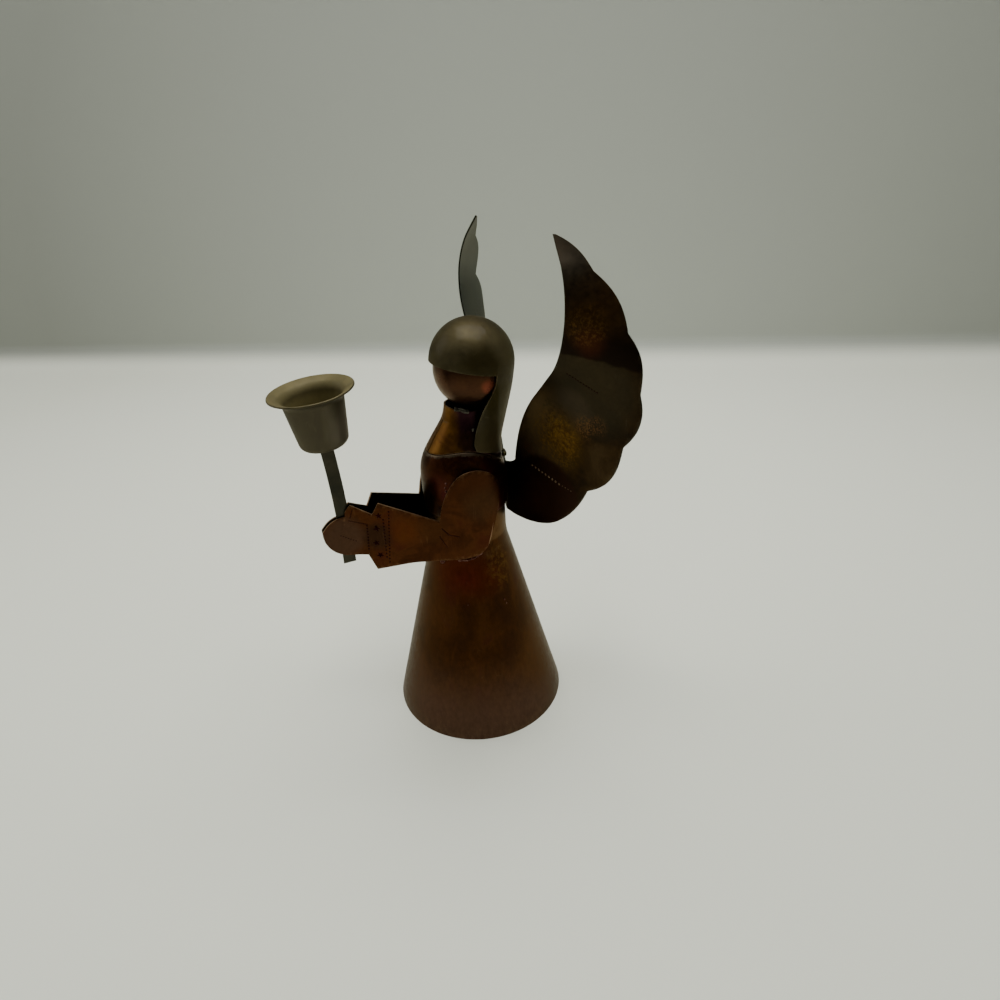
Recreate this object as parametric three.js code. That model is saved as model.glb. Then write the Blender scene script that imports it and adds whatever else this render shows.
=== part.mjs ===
import * as THREE from 'three';
import { mergeVertices } from 'three/addons/utils/BufferGeometryUtils.js';

// An angel that holds up a candle cup, cut and rolled from copper and brass sheet and soldered.
// Millimetres, +Z up. The angel faces -Y and stands on the hem of its skirt.

// Driving dimensions
const SHEET = 0.8;
const SEAM = 0.3;

const HEM_RADIUS = 42;
const WAIST_RADIUS = 17.9;
const SKIRT_HEIGHT = 94;
const SKIRT_NECK = 19;
const SKIRT_LAP = 8;

const TORSO_STEP = 2.5;
const BODICE_HEM = 14;
const CHEST_RADIUS = 19.6;
const SHOULDER_RADIUS = 18.1;
const NECKLINE_DIP = 3;
const NECKLINE_LEAN = 3.9;

const COLLAR_SLIT = 1;
const COLLAR_TOP_RADIUS = 9.7;
const COLLAR_TOP_HEIGHT = 64.5;
const COLLAR_DEPTH = 23.7;
const CHIN_GAP = 3.9;

const HELMET_RADIUS = 18.5;
const HELMET_RISE = 14.6;
const HELMET_BACK = 7.56;
const BRIM_DROP = 1.9;
const BRIM_TILT = 3.7;
const HAIR_BRIM_ANGLE = 102.5;
const HAIR_FOOT_ANGLE = 87.5;
const HAIR_CORNER = 2.6;
const HAIR_BACK_LIFT = 3.4;

const BALL_RADIUS = 16.9;
const BALL_DROP = 3.3;
const BALL_HOLE = 4;

const TOE_IN = 20.9;
const SHOULDER_START = 37.2;
const WRIST_BEND = 3;

const STEM_WIDTH = 5.5;
const STEM_THICKNESS = 1.2;
const STEM_FOOT = -2.9;
const STEM_BACK = 1.3;
const STEM_BOW = 0.9;

const CUP_RIM_RADIUS = 17.5;
const CUP_DEPTH = 24.3;
const CUP_FLOOR_RADIUS = 5.6;
const CUP_WALL_RADIUS = 10.3;
const CUP_MOUTH_RADIUS = 12.2;
const CUP_TILT = 4.64;
const CUP_REACH = 60.4;
const CUP_HEIGHT = 175.25;

const WING_ROOT = 0.25;
const WING_REACH = 74.47;
const WING_CUT = 3.4;
const WING_SWEEP = 0.28;
const WING_TWIST = 0.92;
const WING_TWIST_HEIGHT = 113.5;
const WING_TWIST_BELOW = 34;
const WING_TWIST_ABOVE = 18;
const WING_TIP_BEND = 5.2;
const WING_BEND_START = 68.5;

const SOLDER_RADIUS = 0.55;
const SEAM_SOLDER_RADIUS = 0.4;
const NAPE_SOLDER_RADIUS = 0.9;

// Heights that follow from the driving dimensions
const waist = SKIRT_HEIGHT;
const torso = waist + TORSO_STEP;
const skirtTuck = SHEET + SEAM / 3;
const helmetHeight = COLLAR_TOP_HEIGHT + HELMET_RISE;
const helmet = new THREE.Vector3(0, HELMET_BACK, torso + helmetHeight);
const ball = new THREE.Vector3(0, HELMET_BACK, helmet.z - BALL_DROP);

const radians = THREE.MathUtils.degToRad;

// The rings of the torso from its base to the collar's top: height over the base, radius, and how far
// the ring's centre is set back.
const torsoRings = [
  { height: BODICE_HEM, radius: WAIST_RADIUS + SEAM + SHEET, centre: 0 },
  { height: BODICE_HEM + 11.5, radius: CHEST_RADIUS, centre: 0 },
  { height: COLLAR_TOP_HEIGHT - 28, radius: SHOULDER_RADIUS, centre: -0.7 },
  { height: COLLAR_TOP_HEIGHT - 18, radius: COLLAR_TOP_RADIUS + 4.5, centre: 1 },
  { height: COLLAR_TOP_HEIGHT - 9, radius: COLLAR_TOP_RADIUS + 1.1, centre: 3.3 },
  { height: COLLAR_TOP_HEIGHT, radius: COLLAR_TOP_RADIUS, centre: 4 },
];

// The rings of the hair's fall, which hangs outside the collar: half width at the sides, reach at the
// back and centre, all measured at a height over the torso's base.
const besideShoulder = SHOULDER_RADIUS + SEAM;
const besideCollar = COLLAR_TOP_RADIUS + SEAM;
const helmetBack = HELMET_BACK + HELMET_RADIUS;
const hairRings = [
  { height: COLLAR_TOP_HEIGHT - 29.5, side: besideShoulder - 0.1, back: besideShoulder + 0.5, centre: 0.4 },
  { height: COLLAR_TOP_HEIGHT - 24, side: besideShoulder - 0.6, back: besideShoulder - 0.4, centre: 0.5 },
  { height: COLLAR_TOP_HEIGHT - 19, side: besideCollar + 6.4, back: besideCollar + 8.3, centre: 0.8 },
  { height: COLLAR_TOP_HEIGHT - 13, side: besideCollar + 4.7, back: besideCollar + 10.4, centre: 2.4 },
  { height: COLLAR_TOP_HEIGHT - 6, side: besideCollar + 4.3, back: besideCollar + 12.4, centre: 5 },
  { height: helmetHeight - 11.6, side: HELMET_RADIUS - 1.6, back: helmetBack - 1.76, centre: 7 },
  { height: helmetHeight - 3.6, side: HELMET_RADIUS - 0.35, back: helmetBack - 0.35, centre: HELMET_BACK },
  { height: helmetHeight, side: HELMET_RADIUS, back: helmetBack, centre: HELMET_BACK },
];

// A smooth value between the rings, held at the ends.
function ringValue(rings, height, name) {
  const last = rings.length - 1;
  if (height <= rings[0].height) return rings[0][name];
  if (height >= rings[last].height) return rings[last][name];
  const next = rings.findIndex((ring) => ring.height > height);
  const slopeAt = (k) => {
    const low = rings[Math.max(k - 1, 0)];
    const high = rings[Math.min(k + 1, last)];
    return (high[name] - low[name]) / (high.height - low.height);
  };
  const low = rings[next - 1];
  const high = rings[next];
  const span = high.height - low.height;
  const t = (height - low.height) / span;
  const rise = high[name] - low[name];
  const startSlope = slopeAt(next - 1) * span;
  const endSlope = slopeAt(next) * span;
  const curve = startSlope * t * (1 - t) ** 2 - endSlope * t * t * (1 - t);
  return low[name] + rise * t * t * (3 - 2 * t) + curve;
}

// A grid of unit coordinates laid out in space by place(u, v, point). Its outer side is the one that
// dP/du x dP/dv points to. Cells that keep(column, row) refuses are left out.
function surface(columns, rows, place, keep = () => true) {
  const grid = new THREE.PlaneGeometry(1, 1, columns, rows);
  const source = grid.attributes.position;
  const point = new THREE.Vector3();
  for (let k = 0; k < source.count; k += 1) {
    place(source.getX(k) + 0.5, source.getY(k) + 0.5, point);
    source.setXYZ(k, point.x, point.y, point.z);
  }
  const kept = [];
  for (let cell = 0; cell < columns * rows; cell += 1) {
    const row = rows - 1 - Math.floor(cell / columns);
    if (keep(cell % columns, row)) kept.push(...grid.index.array.slice(cell * 6, cell * 6 + 6));
  }
  grid.setIndex(kept);
  return welded(grid);
}

// One vertex for each place, and no triangle that has shrunk to a line.
function welded(geometry) {
  geometry.deleteAttribute('normal');
  geometry.deleteAttribute('uv');
  const merged = mergeVertices(geometry, 1e-4);
  const kept = [];
  for (let k = 0; k < merged.index.count; k += 3) {
    const corners = [0, 1, 2].map((step) => merged.index.getX(k + step));
    if (new Set(corners).size === 3) kept.push(...corners);
  }
  merged.setIndex(kept);
  merged.computeVertexNormals();
  return merged;
}

// Turns an open surface into a sheet: one face is moved out, the other in, and the free edges are closed.
function sheetFrom(open, outward, inward) {
  const position = open.attributes.position;
  const normal = open.attributes.normal;
  const count = position.count;
  const points = [];
  for (const shift of [outward, -inward]) {
    for (let k = 0; k < count; k += 1) {
      const at = new THREE.Vector3().fromBufferAttribute(position, k);
      at.addScaledVector(new THREE.Vector3().fromBufferAttribute(normal, k), shift);
      points.push(at.x, at.y, at.z);
    }
  }
  const faces = [];
  const free = new Map();
  for (let k = 0; k < open.index.count; k += 3) {
    const [a, b, c] = [0, 1, 2].map((step) => open.index.getX(k + step));
    faces.push(a, b, c, a + count, c + count, b + count);
    for (const [from, to] of [[a, b], [b, c], [c, a]]) {
      if (!free.delete(`${to},${from}`)) free.set(`${from},${to}`, [from, to]);
    }
  }
  for (const [from, to] of free.values()) {
    faces.push(to, from, from + count, to, from + count, to + count);
  }
  const solid = new THREE.BufferGeometry();
  solid.setAttribute('position', new THREE.Float32BufferAttribute(points, 3));
  solid.setIndex(faces);
  solid.computeVertexNormals();
  return solid;
}

// A turned piece about +Z, from a profile of (radius, height) points that starts and ends on the axis.
function turned(profile, segments) {
  const geometry = new THREE.LatheGeometry(profile, segments);
  geometry.rotateX(Math.PI / 2);
  return facingOut(welded(geometry));
}

function facingOut(geometry) {
  const position = geometry.attributes.position;
  const corner = (k) => new THREE.Vector3().fromBufferAttribute(position, geometry.index.getX(k));
  let volume = 0;
  for (let k = 0; k < geometry.index.count; k += 3) {
    volume += corner(k).dot(corner(k + 1).cross(corner(k + 2)));
  }
  if (volume < 0) geometry.setIndex(Array.from(geometry.index.array).reverse());
  geometry.computeVertexNormals();
  return geometry;
}

// A run of solder: a round bead along a curve through the given points.
function bead(points, radius = SOLDER_RADIUS) {
  const section = new THREE.Shape();
  section.absarc(0, 0, radius, 0, Math.PI * 2);
  const path = new THREE.CatmullRomCurve3(points);
  const geometry = new THREE.ExtrudeGeometry(section, {
    steps: Math.max(1, points.length * 2 - 2),
    curveSegments: 4,
    bevelEnabled: false,
    extrudePath: path,
  });
  return facingOut(welded(geometry));
}

// Angles run from the front round to the angel's left, in degrees.
function ringPoint(point, angle, radiusX, radiusY, centre, z) {
  const turn = radians(angle);
  return point.set(radiusX * Math.sin(turn), centre - radiusY * Math.cos(turn), z);
}

function torsoPoint(point, angle, z, extra = 0) {
  const radius = ringValue(torsoRings, z - torso, 'radius') + extra;
  return ringPoint(point, angle, radius, radius, ringValue(torsoRings, z - torso, 'centre'), z);
}

function skirtRadius(z) {
  return THREE.MathUtils.lerp(HEM_RADIUS, WAIST_RADIUS, Math.min(z / waist, 1));
}

// The skirt is rolled from one sheet, with its ends lapped at the back.
function skirt() {
  const columns = 74;
  const heights = [0, 1 / 3, 2 / 3, 1].map((part) => part * waist);
  heights.push(waist + SKIRT_NECK);
  const place = (u, v, point) => {
    const turn = u * (360 + SKIRT_LAP);
    const out = THREE.MathUtils.smoothstep(turn, SKIRT_LAP + 1, 2 * SKIRT_LAP);
    const z = heights[Math.round(v * (heights.length - 1))];
    const radius = skirtRadius(z) - (1 - out) * skirtTuck;
    ringPoint(point, 180 - SKIRT_LAP / 2 + turn, radius, radius, 0, z);
  };
  return trimmedLevel(sheetFrom(surface(columns, heights.length - 1, place), 0, SHEET));
}

// The hem is filed flat, so that the skirt stands on the whole edge of its sheet.
function trimmedLevel(sheet) {
  const position = sheet.attributes.position;
  for (let k = 0; k < position.count; k += 1) {
    position.setZ(k, Math.max(position.getZ(k), 0));
  }
  sheet.computeVertexNormals();
  return sheet;
}

function necklineHeight(angle) {
  const turn = radians(angle);
  const lean = NECKLINE_LEAN * Math.cos(turn);
  return torso + COLLAR_TOP_HEIGHT - COLLAR_DEPTH + lean - NECKLINE_DIP * Math.cos(2 * turn);
}

function bodice() {
  const place = (u, v, point) => {
    const angle = u * 360;
    torsoPoint(point, angle, THREE.MathUtils.lerp(torso + BODICE_HEM, necklineHeight(angle), v));
  };
  return sheetFrom(surface(44, 7, place), 0, SHEET);
}

// The collar's top edge sits under the face and opens a little below the chin.
function collarTop(angle) {
  const rim = torsoPoint(new THREE.Vector3(), angle, torso + COLLAR_TOP_HEIGHT - 2.5);
  const away = Math.hypot(rim.x, rim.y - ball.y);
  const under = ball.z - Math.sqrt(Math.max(BALL_RADIUS ** 2 - away ** 2, 0));
  return under - SEAM - CHIN_GAP * (1 + Math.cos(radians(angle))) / 2;
}

function collar() {
  const slit = THREE.MathUtils.radToDeg(COLLAR_SLIT / SHOULDER_RADIUS);
  const place = (u, v, point) => {
    const angle = THREE.MathUtils.lerp(slit / 2, 360 - slit / 2, u);
    const foot = necklineHeight(angle) + SEAM;
    torsoPoint(point, angle, THREE.MathUtils.lerp(foot, collarTop(angle), v));
  };
  return sheetFrom(surface(44, 6, place), 0, SHEET);
}

// The face is a hollow ball, open underneath where it was closed in on the spinning tool.
function head() {
  const hole = Math.asin(BALL_HOLE / BALL_RADIUS);
  const arc = (radius, steps) => {
    const points = [];
    for (let k = 0; k <= steps; k += 1) {
      const angle = (Math.PI - hole) * (k / steps);
      points.push(new THREE.Vector2(radius * Math.sin(angle), radius * Math.cos(angle)));
    }
    return points;
  };
  const outer = arc(BALL_RADIUS, 15);
  const inner = arc(BALL_RADIUS - SHEET, 9).reverse();
  return turned([...outer, ...inner], 28);
}

function brimHeight(angle) {
  return helmet.z - BRIM_DROP + BRIM_TILT * Math.cos(radians(angle));
}

// The angle of the fall's front edge at a height: it runs down behind the cheek and then forward.
const fallBend = { foot: helmetHeight - 32.1, top: helmetHeight - 7.6 };
function hairEdge(z) {
  const part = (z - torso - fallBend.foot) / (fallBend.top - fallBend.foot);
  const bend = THREE.MathUtils.clamp(part, 0, 1) ** 3;
  return THREE.MathUtils.lerp(HAIR_FOOT_ANGLE, HAIR_BRIM_ANGLE, bend);
}

// The fall's lower edge follows the neckline, rises a little at the nape, and its corners are round.
function hairFoot(angle) {
  const nape = Math.max(-Math.cos(radians(angle)), 0) ** 2;
  const level = necklineHeight(angle) + 2 * SEAM + HAIR_BACK_LIFT * nape;
  const fromEdge = Math.min(angle, 360 - angle) - HAIR_FOOT_ANGLE;
  const along = radians(fromEdge) * SHOULDER_RADIUS;
  const short = THREE.MathUtils.clamp(HAIR_CORNER - along, 0, HAIR_CORNER);
  return level + HAIR_CORNER - Math.sqrt(HAIR_CORNER ** 2 - short ** 2);
}

// The share of the way round the back for a column, with narrow columns beside the two edges
function backShare(column, columns) {
  const share = column / columns;
  return share - 0.6 * Math.sin(2 * Math.PI * share) / (2 * Math.PI);
}

// The hair is one sheet: a round cap down to the brim, and a fall behind it down to the neckline.
function hair() {
  const frontColumns = 20;
  const backColumns = 20;
  const capRows = 8;
  const fallRows = 9;
  const columnAngle = (column, edge) => {
    if (column <= frontColumns) return edge * (2 * column / frontColumns - 1);
    return edge + backShare(column - frontColumns, backColumns) * (360 - 2 * edge);
  };
  const place = (u, v, point) => {
    const column = Math.round(u * (frontColumns + backColumns));
    const row = Math.round(v * (capRows + fallRows));
    const capAngle = columnAngle(column, HAIR_BRIM_ANGLE);
    const brim = brimHeight(capAngle);
    if (row >= fallRows) {
      const toBrim = Math.acos((brim - helmet.z) / HELMET_RADIUS);
      const polar = toBrim * (capRows + fallRows - row) / capRows;
      const radius = HELMET_RADIUS * Math.sin(polar);
      ringPoint(point, capAngle, radius, radius, helmet.y, helmet.z + HELMET_RADIUS * Math.cos(polar));
      return;
    }
    const foot = hairFoot(columnAngle(column, HAIR_FOOT_ANGLE));
    const z = THREE.MathUtils.lerp(foot, brim, row / fallRows);
    const angle = columnAngle(column, hairEdge(z));
    const height = z - torso;
    const centre = ringValue(hairRings, height, 'centre');
    const back = ringValue(hairRings, height, 'back') - centre;
    ringPoint(point, angle, ringValue(hairRings, height, 'side'), back, centre, z);
  };
  const keep = (column, row) => row >= fallRows || column >= frontColumns;
  return sheetFrom(surface(frontColumns + backColumns, capRows + fallRows, place, keep), 0, SHEET);
}

// A piece cut flat is a ladder of rungs between two edges. Each section runs both edges on by one bow:
// [edge x, edge y, bulge to the right, other edge x, other edge y, bulge to the right].
function ladder(start, sections, steps) {
  const rungs = [];
  let first = new THREE.Vector2(start[0], start[1]);
  let second = new THREE.Vector2(start[2], start[3]);
  for (const [x, y, bulge, otherX, otherY, otherBulge] of sections) {
    const nextFirst = new THREE.Vector2(x, y);
    const nextSecond = new THREE.Vector2(otherX, otherY);
    const firstBow = bow(first, nextFirst, bulge);
    const secondBow = bow(second, nextSecond, otherBulge);
    for (let k = rungs.length ? 1 : 0; k <= steps; k += 1) {
      rungs.push([firstBow.getPoint(k / steps), secondBow.getPoint(k / steps)]);
    }
    first = nextFirst;
    second = nextSecond;
  }
  return rungs;
}

function bow(from, to, bulge) {
  const along = to.clone().sub(from);
  const right = new THREE.Vector2(along.y, -along.x).normalize();
  const control = from.clone().add(to).multiplyScalar(0.5).addScaledVector(right, 2 * bulge);
  return new THREE.QuadraticBezierCurve(from, control, to);
}

// The wing's outline, as distance out from the middle and height over the torso's base: first the
// leading edge, then the scalloped edge, whose sections end in the notches between the feathers.
const wingStart = [WING_ROOT, 3.8, 6, 3.3];
const wingSections = [
  [WING_ROOT, 29.2, 0, 31.6, 9.7, 1.7],
  [7.4, 32.6, 0.7, 51, 33.2, 2.1],
  [26.1, 66.9, -3, 68.4, 58.2, 4.6],
  [45.3, 84.1, 0, 73.2, 79.7, 3.4],
  [53.4, 103.5, 1.9, 68.6, 101.1, 2.6],
  [46.3, 122.3, 1.9, 55.4, 120.6, 2.4],
  [37, 131.1, 0, 38.1, 131.1, 1.5],
];

// The outline is drawn for one reach and is then widened or narrowed to the wing's own.
const wingSteps = 5;
const drawnReach = Math.max(...ladder(wingStart, wingSections, wingSteps).map(([, trail]) => trail.x));
const wingScale = (WING_REACH - WING_ROOT) / (drawnReach - WING_ROOT);

// The wings are cut by hand: on the right one the notch beside the head is deeper, and the feather
// above it is fuller.
function deeperNotch([x, y, bulge, out, height, outBulge]) {
  return [x, y, bulge, out - WING_CUT, height, outBulge];
}

function fullerFeather([x, y, bulge, out, height, outBulge]) {
  return [x, y, bulge, out, height, outBulge + 0.3 * WING_CUT];
}

function wingOutline(side) {
  const sections = [...wingSections];
  if (side < 0) {
    const [notch, feather] = sections.splice(-3, 2);
    sections.splice(-1, 0, deeperNotch(notch), fullerFeather(feather));
  }
  const rungs = ladder(wingStart, sections, wingSteps);
  for (const at of rungs.flat()) {
    at.x = WING_ROOT + (at.x - WING_ROOT) * wingScale;
  }
  return rungs;
}

// How far out the leading edge runs at each height, from the top of the web at its root upwards.
const wingLead = wingOutline(1)
  .slice(2 * wingSteps)
  .map(([lead]) => ({ height: lead.y, out: lead.x }));

const wingBendRun = wingSections.at(-1)[1] - WING_BEND_START;

// The sheet sweeps back from its leading edge, more steeply towards the tip, and the tip leans back.
function wingBack(out, height) {
  const above = height - WING_TWIST_HEIGHT;
  const spread = above < 0 ? WING_TWIST_BELOW : WING_TWIST_ABOVE;
  const sweep = WING_SWEEP + WING_TWIST * Math.exp(-((above / spread) ** 2));
  const lean = WING_TIP_BEND * (Math.max(height - WING_BEND_START, 0) / wingBendRun) ** 3;
  const rootLine = CHEST_RADIUS + 2 * SEAM + SHEET / 2 + (wingLead[0].out - WING_ROOT) * WING_SWEEP;
  return rootLine + lean + (out - ringValue(wingLead, height, 'out')) * sweep;
}

function wing(side) {
  const rungs = wingOutline(side);
  const place = (u, v, point) => {
    const [lead, trail] = rungs[Math.round(v * (rungs.length - 1))];
    const at = lead.clone().lerp(trail, u);
    point.set(side * at.x, wingBack(at.x, at.y), torso + at.y);
  };
  return facingOut(sheetFrom(surface(6, rungs.length - 1, place), SHEET / 2, SHEET / 2));
}

// The arm's outline, as distance back from the cuff's top corner and height over the torso's base:
// first the lower edge, then the upper edge, from the fingers to the shoulder.
const armStart = [-25.3, 11, -25.3, 15.5];
const armSections = [
  [-17, 1.8, 1.6, -15, 20.8, -1.6],
  [-13.5, 1, 0, -12, 25.7, -0.9],
  [-7.3, 0.3, 0, -3.2, 20.5, 0],
  [-4.3, -7.7, 0, 0, 25.8, 0],
  [12, -5.4, 0, 13, 20.2, 0],
  [25, -5.3, 0, 25.7, 14.7, 0],
  [31, -5.6, 0, 32.4, 32.7, -1.2],
  [39.9, -4.5, 0.3, 42.8, 38, -1.6],
  [46.4, -0.3, 0.8, 53.2, 31.3, -1.4],
  [53.8, 20, 0.5, 54.2, 25.5, -0.3],
];

// The arm seen from above: round the chest, straight in to the wrist, and straight ahead at the hand.
function armPlan(along) {
  const wrap = CHEST_RADIUS + SEAM + SHEET / 2;
  const toe = radians(TOE_IN);
  if (along >= SHOULDER_START) {
    const turn = (along - SHOULDER_START) / wrap - toe;
    return new THREE.Vector2(wrap * Math.cos(turn), wrap * Math.sin(turn));
  }
  const handX = STEM_THICKNESS / 2 + SEAM + SHEET / 2;
  const run = (wrap * Math.cos(toe) - handX) / Math.sin(toe);
  const past = SHOULDER_START - run - along;
  const bend = THREE.MathUtils.clamp((past + WRIST_BEND) / (2 * WRIST_BEND), 0, 1);
  const eased = past < WRIST_BEND ? WRIST_BEND * bend ** 2 : past;
  const straight = SHOULDER_START - along;
  const x = wrap * Math.cos(toe) - (straight - eased) * Math.sin(toe);
  const y = -wrap * Math.sin(toe) - (straight - eased) * Math.cos(toe) - eased;
  return new THREE.Vector2(x, y);
}

function armPoint(side, along, height) {
  const plan = armPlan(along);
  return new THREE.Vector3(side * plan.x, plan.y, torso + height);
}

function arm(side) {
  const rungs = ladder(armStart, armSections, 4);
  const place = (u, v, point) => {
    const [low, high] = rungs[Math.round(u * (rungs.length - 1))];
    const at = low.clone().lerp(high, v);
    point.copy(armPoint(side, at.x, at.y));
  };
  return facingOut(sheetFrom(surface(rungs.length - 1, 4, place), SHEET / 2, SHEET / 2));
}

// The cup is spun: a small flat floor, a wall that opens slightly, and a wide flared lip.
function candleCup() {
  const outer = new THREE.Path();
  outer.moveTo(0, -CUP_DEPTH);
  outer.lineTo(CUP_FLOOR_RADIUS, -CUP_DEPTH);
  outer.quadraticCurveTo(CUP_WALL_RADIUS - 0.9, -CUP_DEPTH + 0.6, CUP_WALL_RADIUS, -CUP_DEPTH + 5.7);
  outer.lineTo(CUP_MOUTH_RADIUS, -7.5);
  outer.quadraticCurveTo(CUP_MOUTH_RADIUS + 0.5, -3.2, CUP_RIM_RADIUS, -SHEET);
  const inner = new THREE.Path();
  inner.moveTo(CUP_RIM_RADIUS, 0);
  inner.quadraticCurveTo(CUP_MOUTH_RADIUS - 0.3, -2.6, CUP_MOUTH_RADIUS - SHEET, -7.5);
  inner.lineTo(CUP_WALL_RADIUS - SHEET, -CUP_DEPTH + 5.7);
  inner.quadraticCurveTo(CUP_WALL_RADIUS - 1.8, -CUP_DEPTH + 1.4, CUP_FLOOR_RADIUS, SHEET - CUP_DEPTH);
  inner.lineTo(0, SHEET - CUP_DEPTH);
  return turned([...outer.getPoints(4), ...inner.getPoints(4)], 36);
}

const cupTilt = radians(CUP_TILT);
const cupBottom = new THREE.Vector3(
  0,
  -CUP_REACH + CUP_DEPTH * Math.sin(cupTilt),
  CUP_HEIGHT - CUP_DEPTH * Math.cos(cupTilt),
);
const stemFoot = torso + STEM_FOOT;
const stemTop = cupBottom.z - SEAM - STEM_WIDTH / 2 * Math.sin(cupTilt);

// The strip's middle line at a height: it leans forward to the cup, and bows back a little.
function stemMiddle(z) {
  const part = (stemTop - z) / (stemTop - stemFoot);
  return cupBottom.y + STEM_BACK * part + STEM_BOW * 4 * part * (1 - part);
}

function stem() {
  const place = (u, v, point) => {
    const z = THREE.MathUtils.lerp(stemFoot, stemTop, v);
    point.set(0, stemMiddle(z) + (u - 0.5) * STEM_WIDTH, z);
  };
  return facingOut(sheetFrom(surface(1, 8, place), STEM_THICKNESS / 2, STEM_THICKNESS / 2));
}

// The runs of solder that hold the pieces together
function shoulderSolder(side) {
  const toe = radians(TOE_IN);
  const fromChest = CHEST_RADIUS + SEAM + SOLDER_RADIUS;
  const fromSleeve = CHEST_RADIUS - SOLDER_RADIUS;
  const ahead = Math.sqrt(fromChest ** 2 - fromSleeve ** 2) + SEAM;
  const x = side * (fromSleeve * Math.cos(toe) - ahead * Math.sin(toe));
  const y = -fromSleeve * Math.sin(toe) - ahead * Math.cos(toe);
  const heights = [torso + 16, torso + 20, torso + 24];
  return bead(heights.map((z) => new THREE.Vector3(x, y, z)));
}

// Along the elbow's lower edge, on the skirt's neck: distance back from the cuff and height of the edge
const elbowEdge = [[32, -5.6], [36, -5.4], [40, -4.5], [43.5, -2.8]];

function elbowSolder(side) {
  return bead(elbowEdge.map(([along, edge]) => {
    const plan = armPlan(along);
    const z = torso + edge - SEAM - 1.3 * SOLDER_RADIUS;
    const radius = skirtRadius(z - SOLDER_RADIUS) + SEAM + SOLDER_RADIUS;
    const away = plan.length();
    return new THREE.Vector3(side * plan.x * radius / away, plan.y * radius / away, z);
  }));
}

// The nape's solder fills the step between the bodice's top edge and the hair's foot.
function hairSolder() {
  const points = [];
  for (let angle = 150; angle <= 210; angle += 10) {
    const z = necklineHeight(angle) + SEAM + 1.3 * NAPE_SOLDER_RADIUS;
    points.push(torsoPoint(new THREE.Vector3(), angle, z, SEAM + NAPE_SOLDER_RADIUS + 0.2));
  }
  return bead(points, NAPE_SOLDER_RADIUS);
}

// Behind the wings, along the bodice's foot on the skirt's neck
function waistSolder() {
  const radius = WAIST_RADIUS + SEAM + SOLDER_RADIUS;
  const z = torso + BODICE_HEM - SEAM - SOLDER_RADIUS;
  const points = [];
  for (let angle = 162; angle <= 198; angle += 6) {
    points.push(ringPoint(new THREE.Vector3(), angle, radius, radius, 0, z));
  }
  return bead(points);
}

function wingSolder() {
  const y = CHEST_RADIUS + 3 * SEAM + SHEET + SOLDER_RADIUS;
  const heights = [torso + 6, torso + 13, torso + 20];
  return bead(heights.map((z) => new THREE.Vector3(0, y, z)));
}

function handSolder() {
  const behind = STEM_WIDTH / 2 + SEAM + STEM_THICKNESS / 2;
  const heights = [torso + 3, torso + 8, torso + 13];
  const points = heights.map((z) => new THREE.Vector3(0, stemMiddle(z) + behind, z));
  return bead(points, STEM_THICKNESS / 2);
}

function cupSolder() {
  const x = -(STEM_THICKNESS / 2 + SEAM + SOLDER_RADIUS);
  const z = stemTop - SOLDER_RADIUS - 0.2;
  const middle = stemMiddle(z);
  const reach = STEM_WIDTH / 2 - 0.5;
  return bead([new THREE.Vector3(x, middle - reach, z), new THREE.Vector3(x, middle + reach, z)]);
}

// A drop of solder in the corner between the collar and the hair's edge
function collarSolder(side) {
  const z = torso + COLLAR_TOP_HEIGHT - 11.5;
  const place = torsoPoint(new THREE.Vector3(), side * 84, z, SEAM + SOLDER_RADIUS + 0.2);
  return bead([place.clone().setZ(z - 0.6), place.clone().setZ(z + 0.6)]);
}

// A thin run of solder on the outside of the skirt's lapped edge
function skirtSolder() {
  const radius = SEAM_SOLDER_RADIUS;
  const heights = [6, waist / 2, waist - 8];
  const points = heights.map((z) => {
    const inner = skirtRadius(z) - skirtTuck;
    const angle = 180 + SKIRT_LAP / 2 + THREE.MathUtils.radToDeg((SEAM + radius) / inner);
    const out = inner + SEAM + radius;
    return ringPoint(new THREE.Vector3(), angle, out, out, 0, z);
  });
  return bead(points, radius);
}

const finishes = {
  skirtCopper: { color: 0x8a4a2a, roughness: 0.34, metalness: 1 },
  goldenCopper: { color: 0xa8743a, roughness: 0.3, metalness: 1 },
  sleeveCopper: { color: 0x9c6a40, roughness: 0.36, metalness: 1 },
  faceCopper: { color: 0xb07a58, roughness: 0.3, metalness: 1 },
  brass: { color: 0x8e8460, roughness: 0.3, metalness: 1 },
  darkBrass: { color: 0x4a3320, roughness: 0.4, metalness: 1 },
  solder: { color: 0x8b8a84, roughness: 0.45, metalness: 1 },
};

function piece(name, geometry, finish) {
  const mesh = new THREE.Mesh(geometry, new THREE.MeshStandardMaterial(finishes[finish]));
  mesh.name = name;
  return mesh;
}

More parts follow.
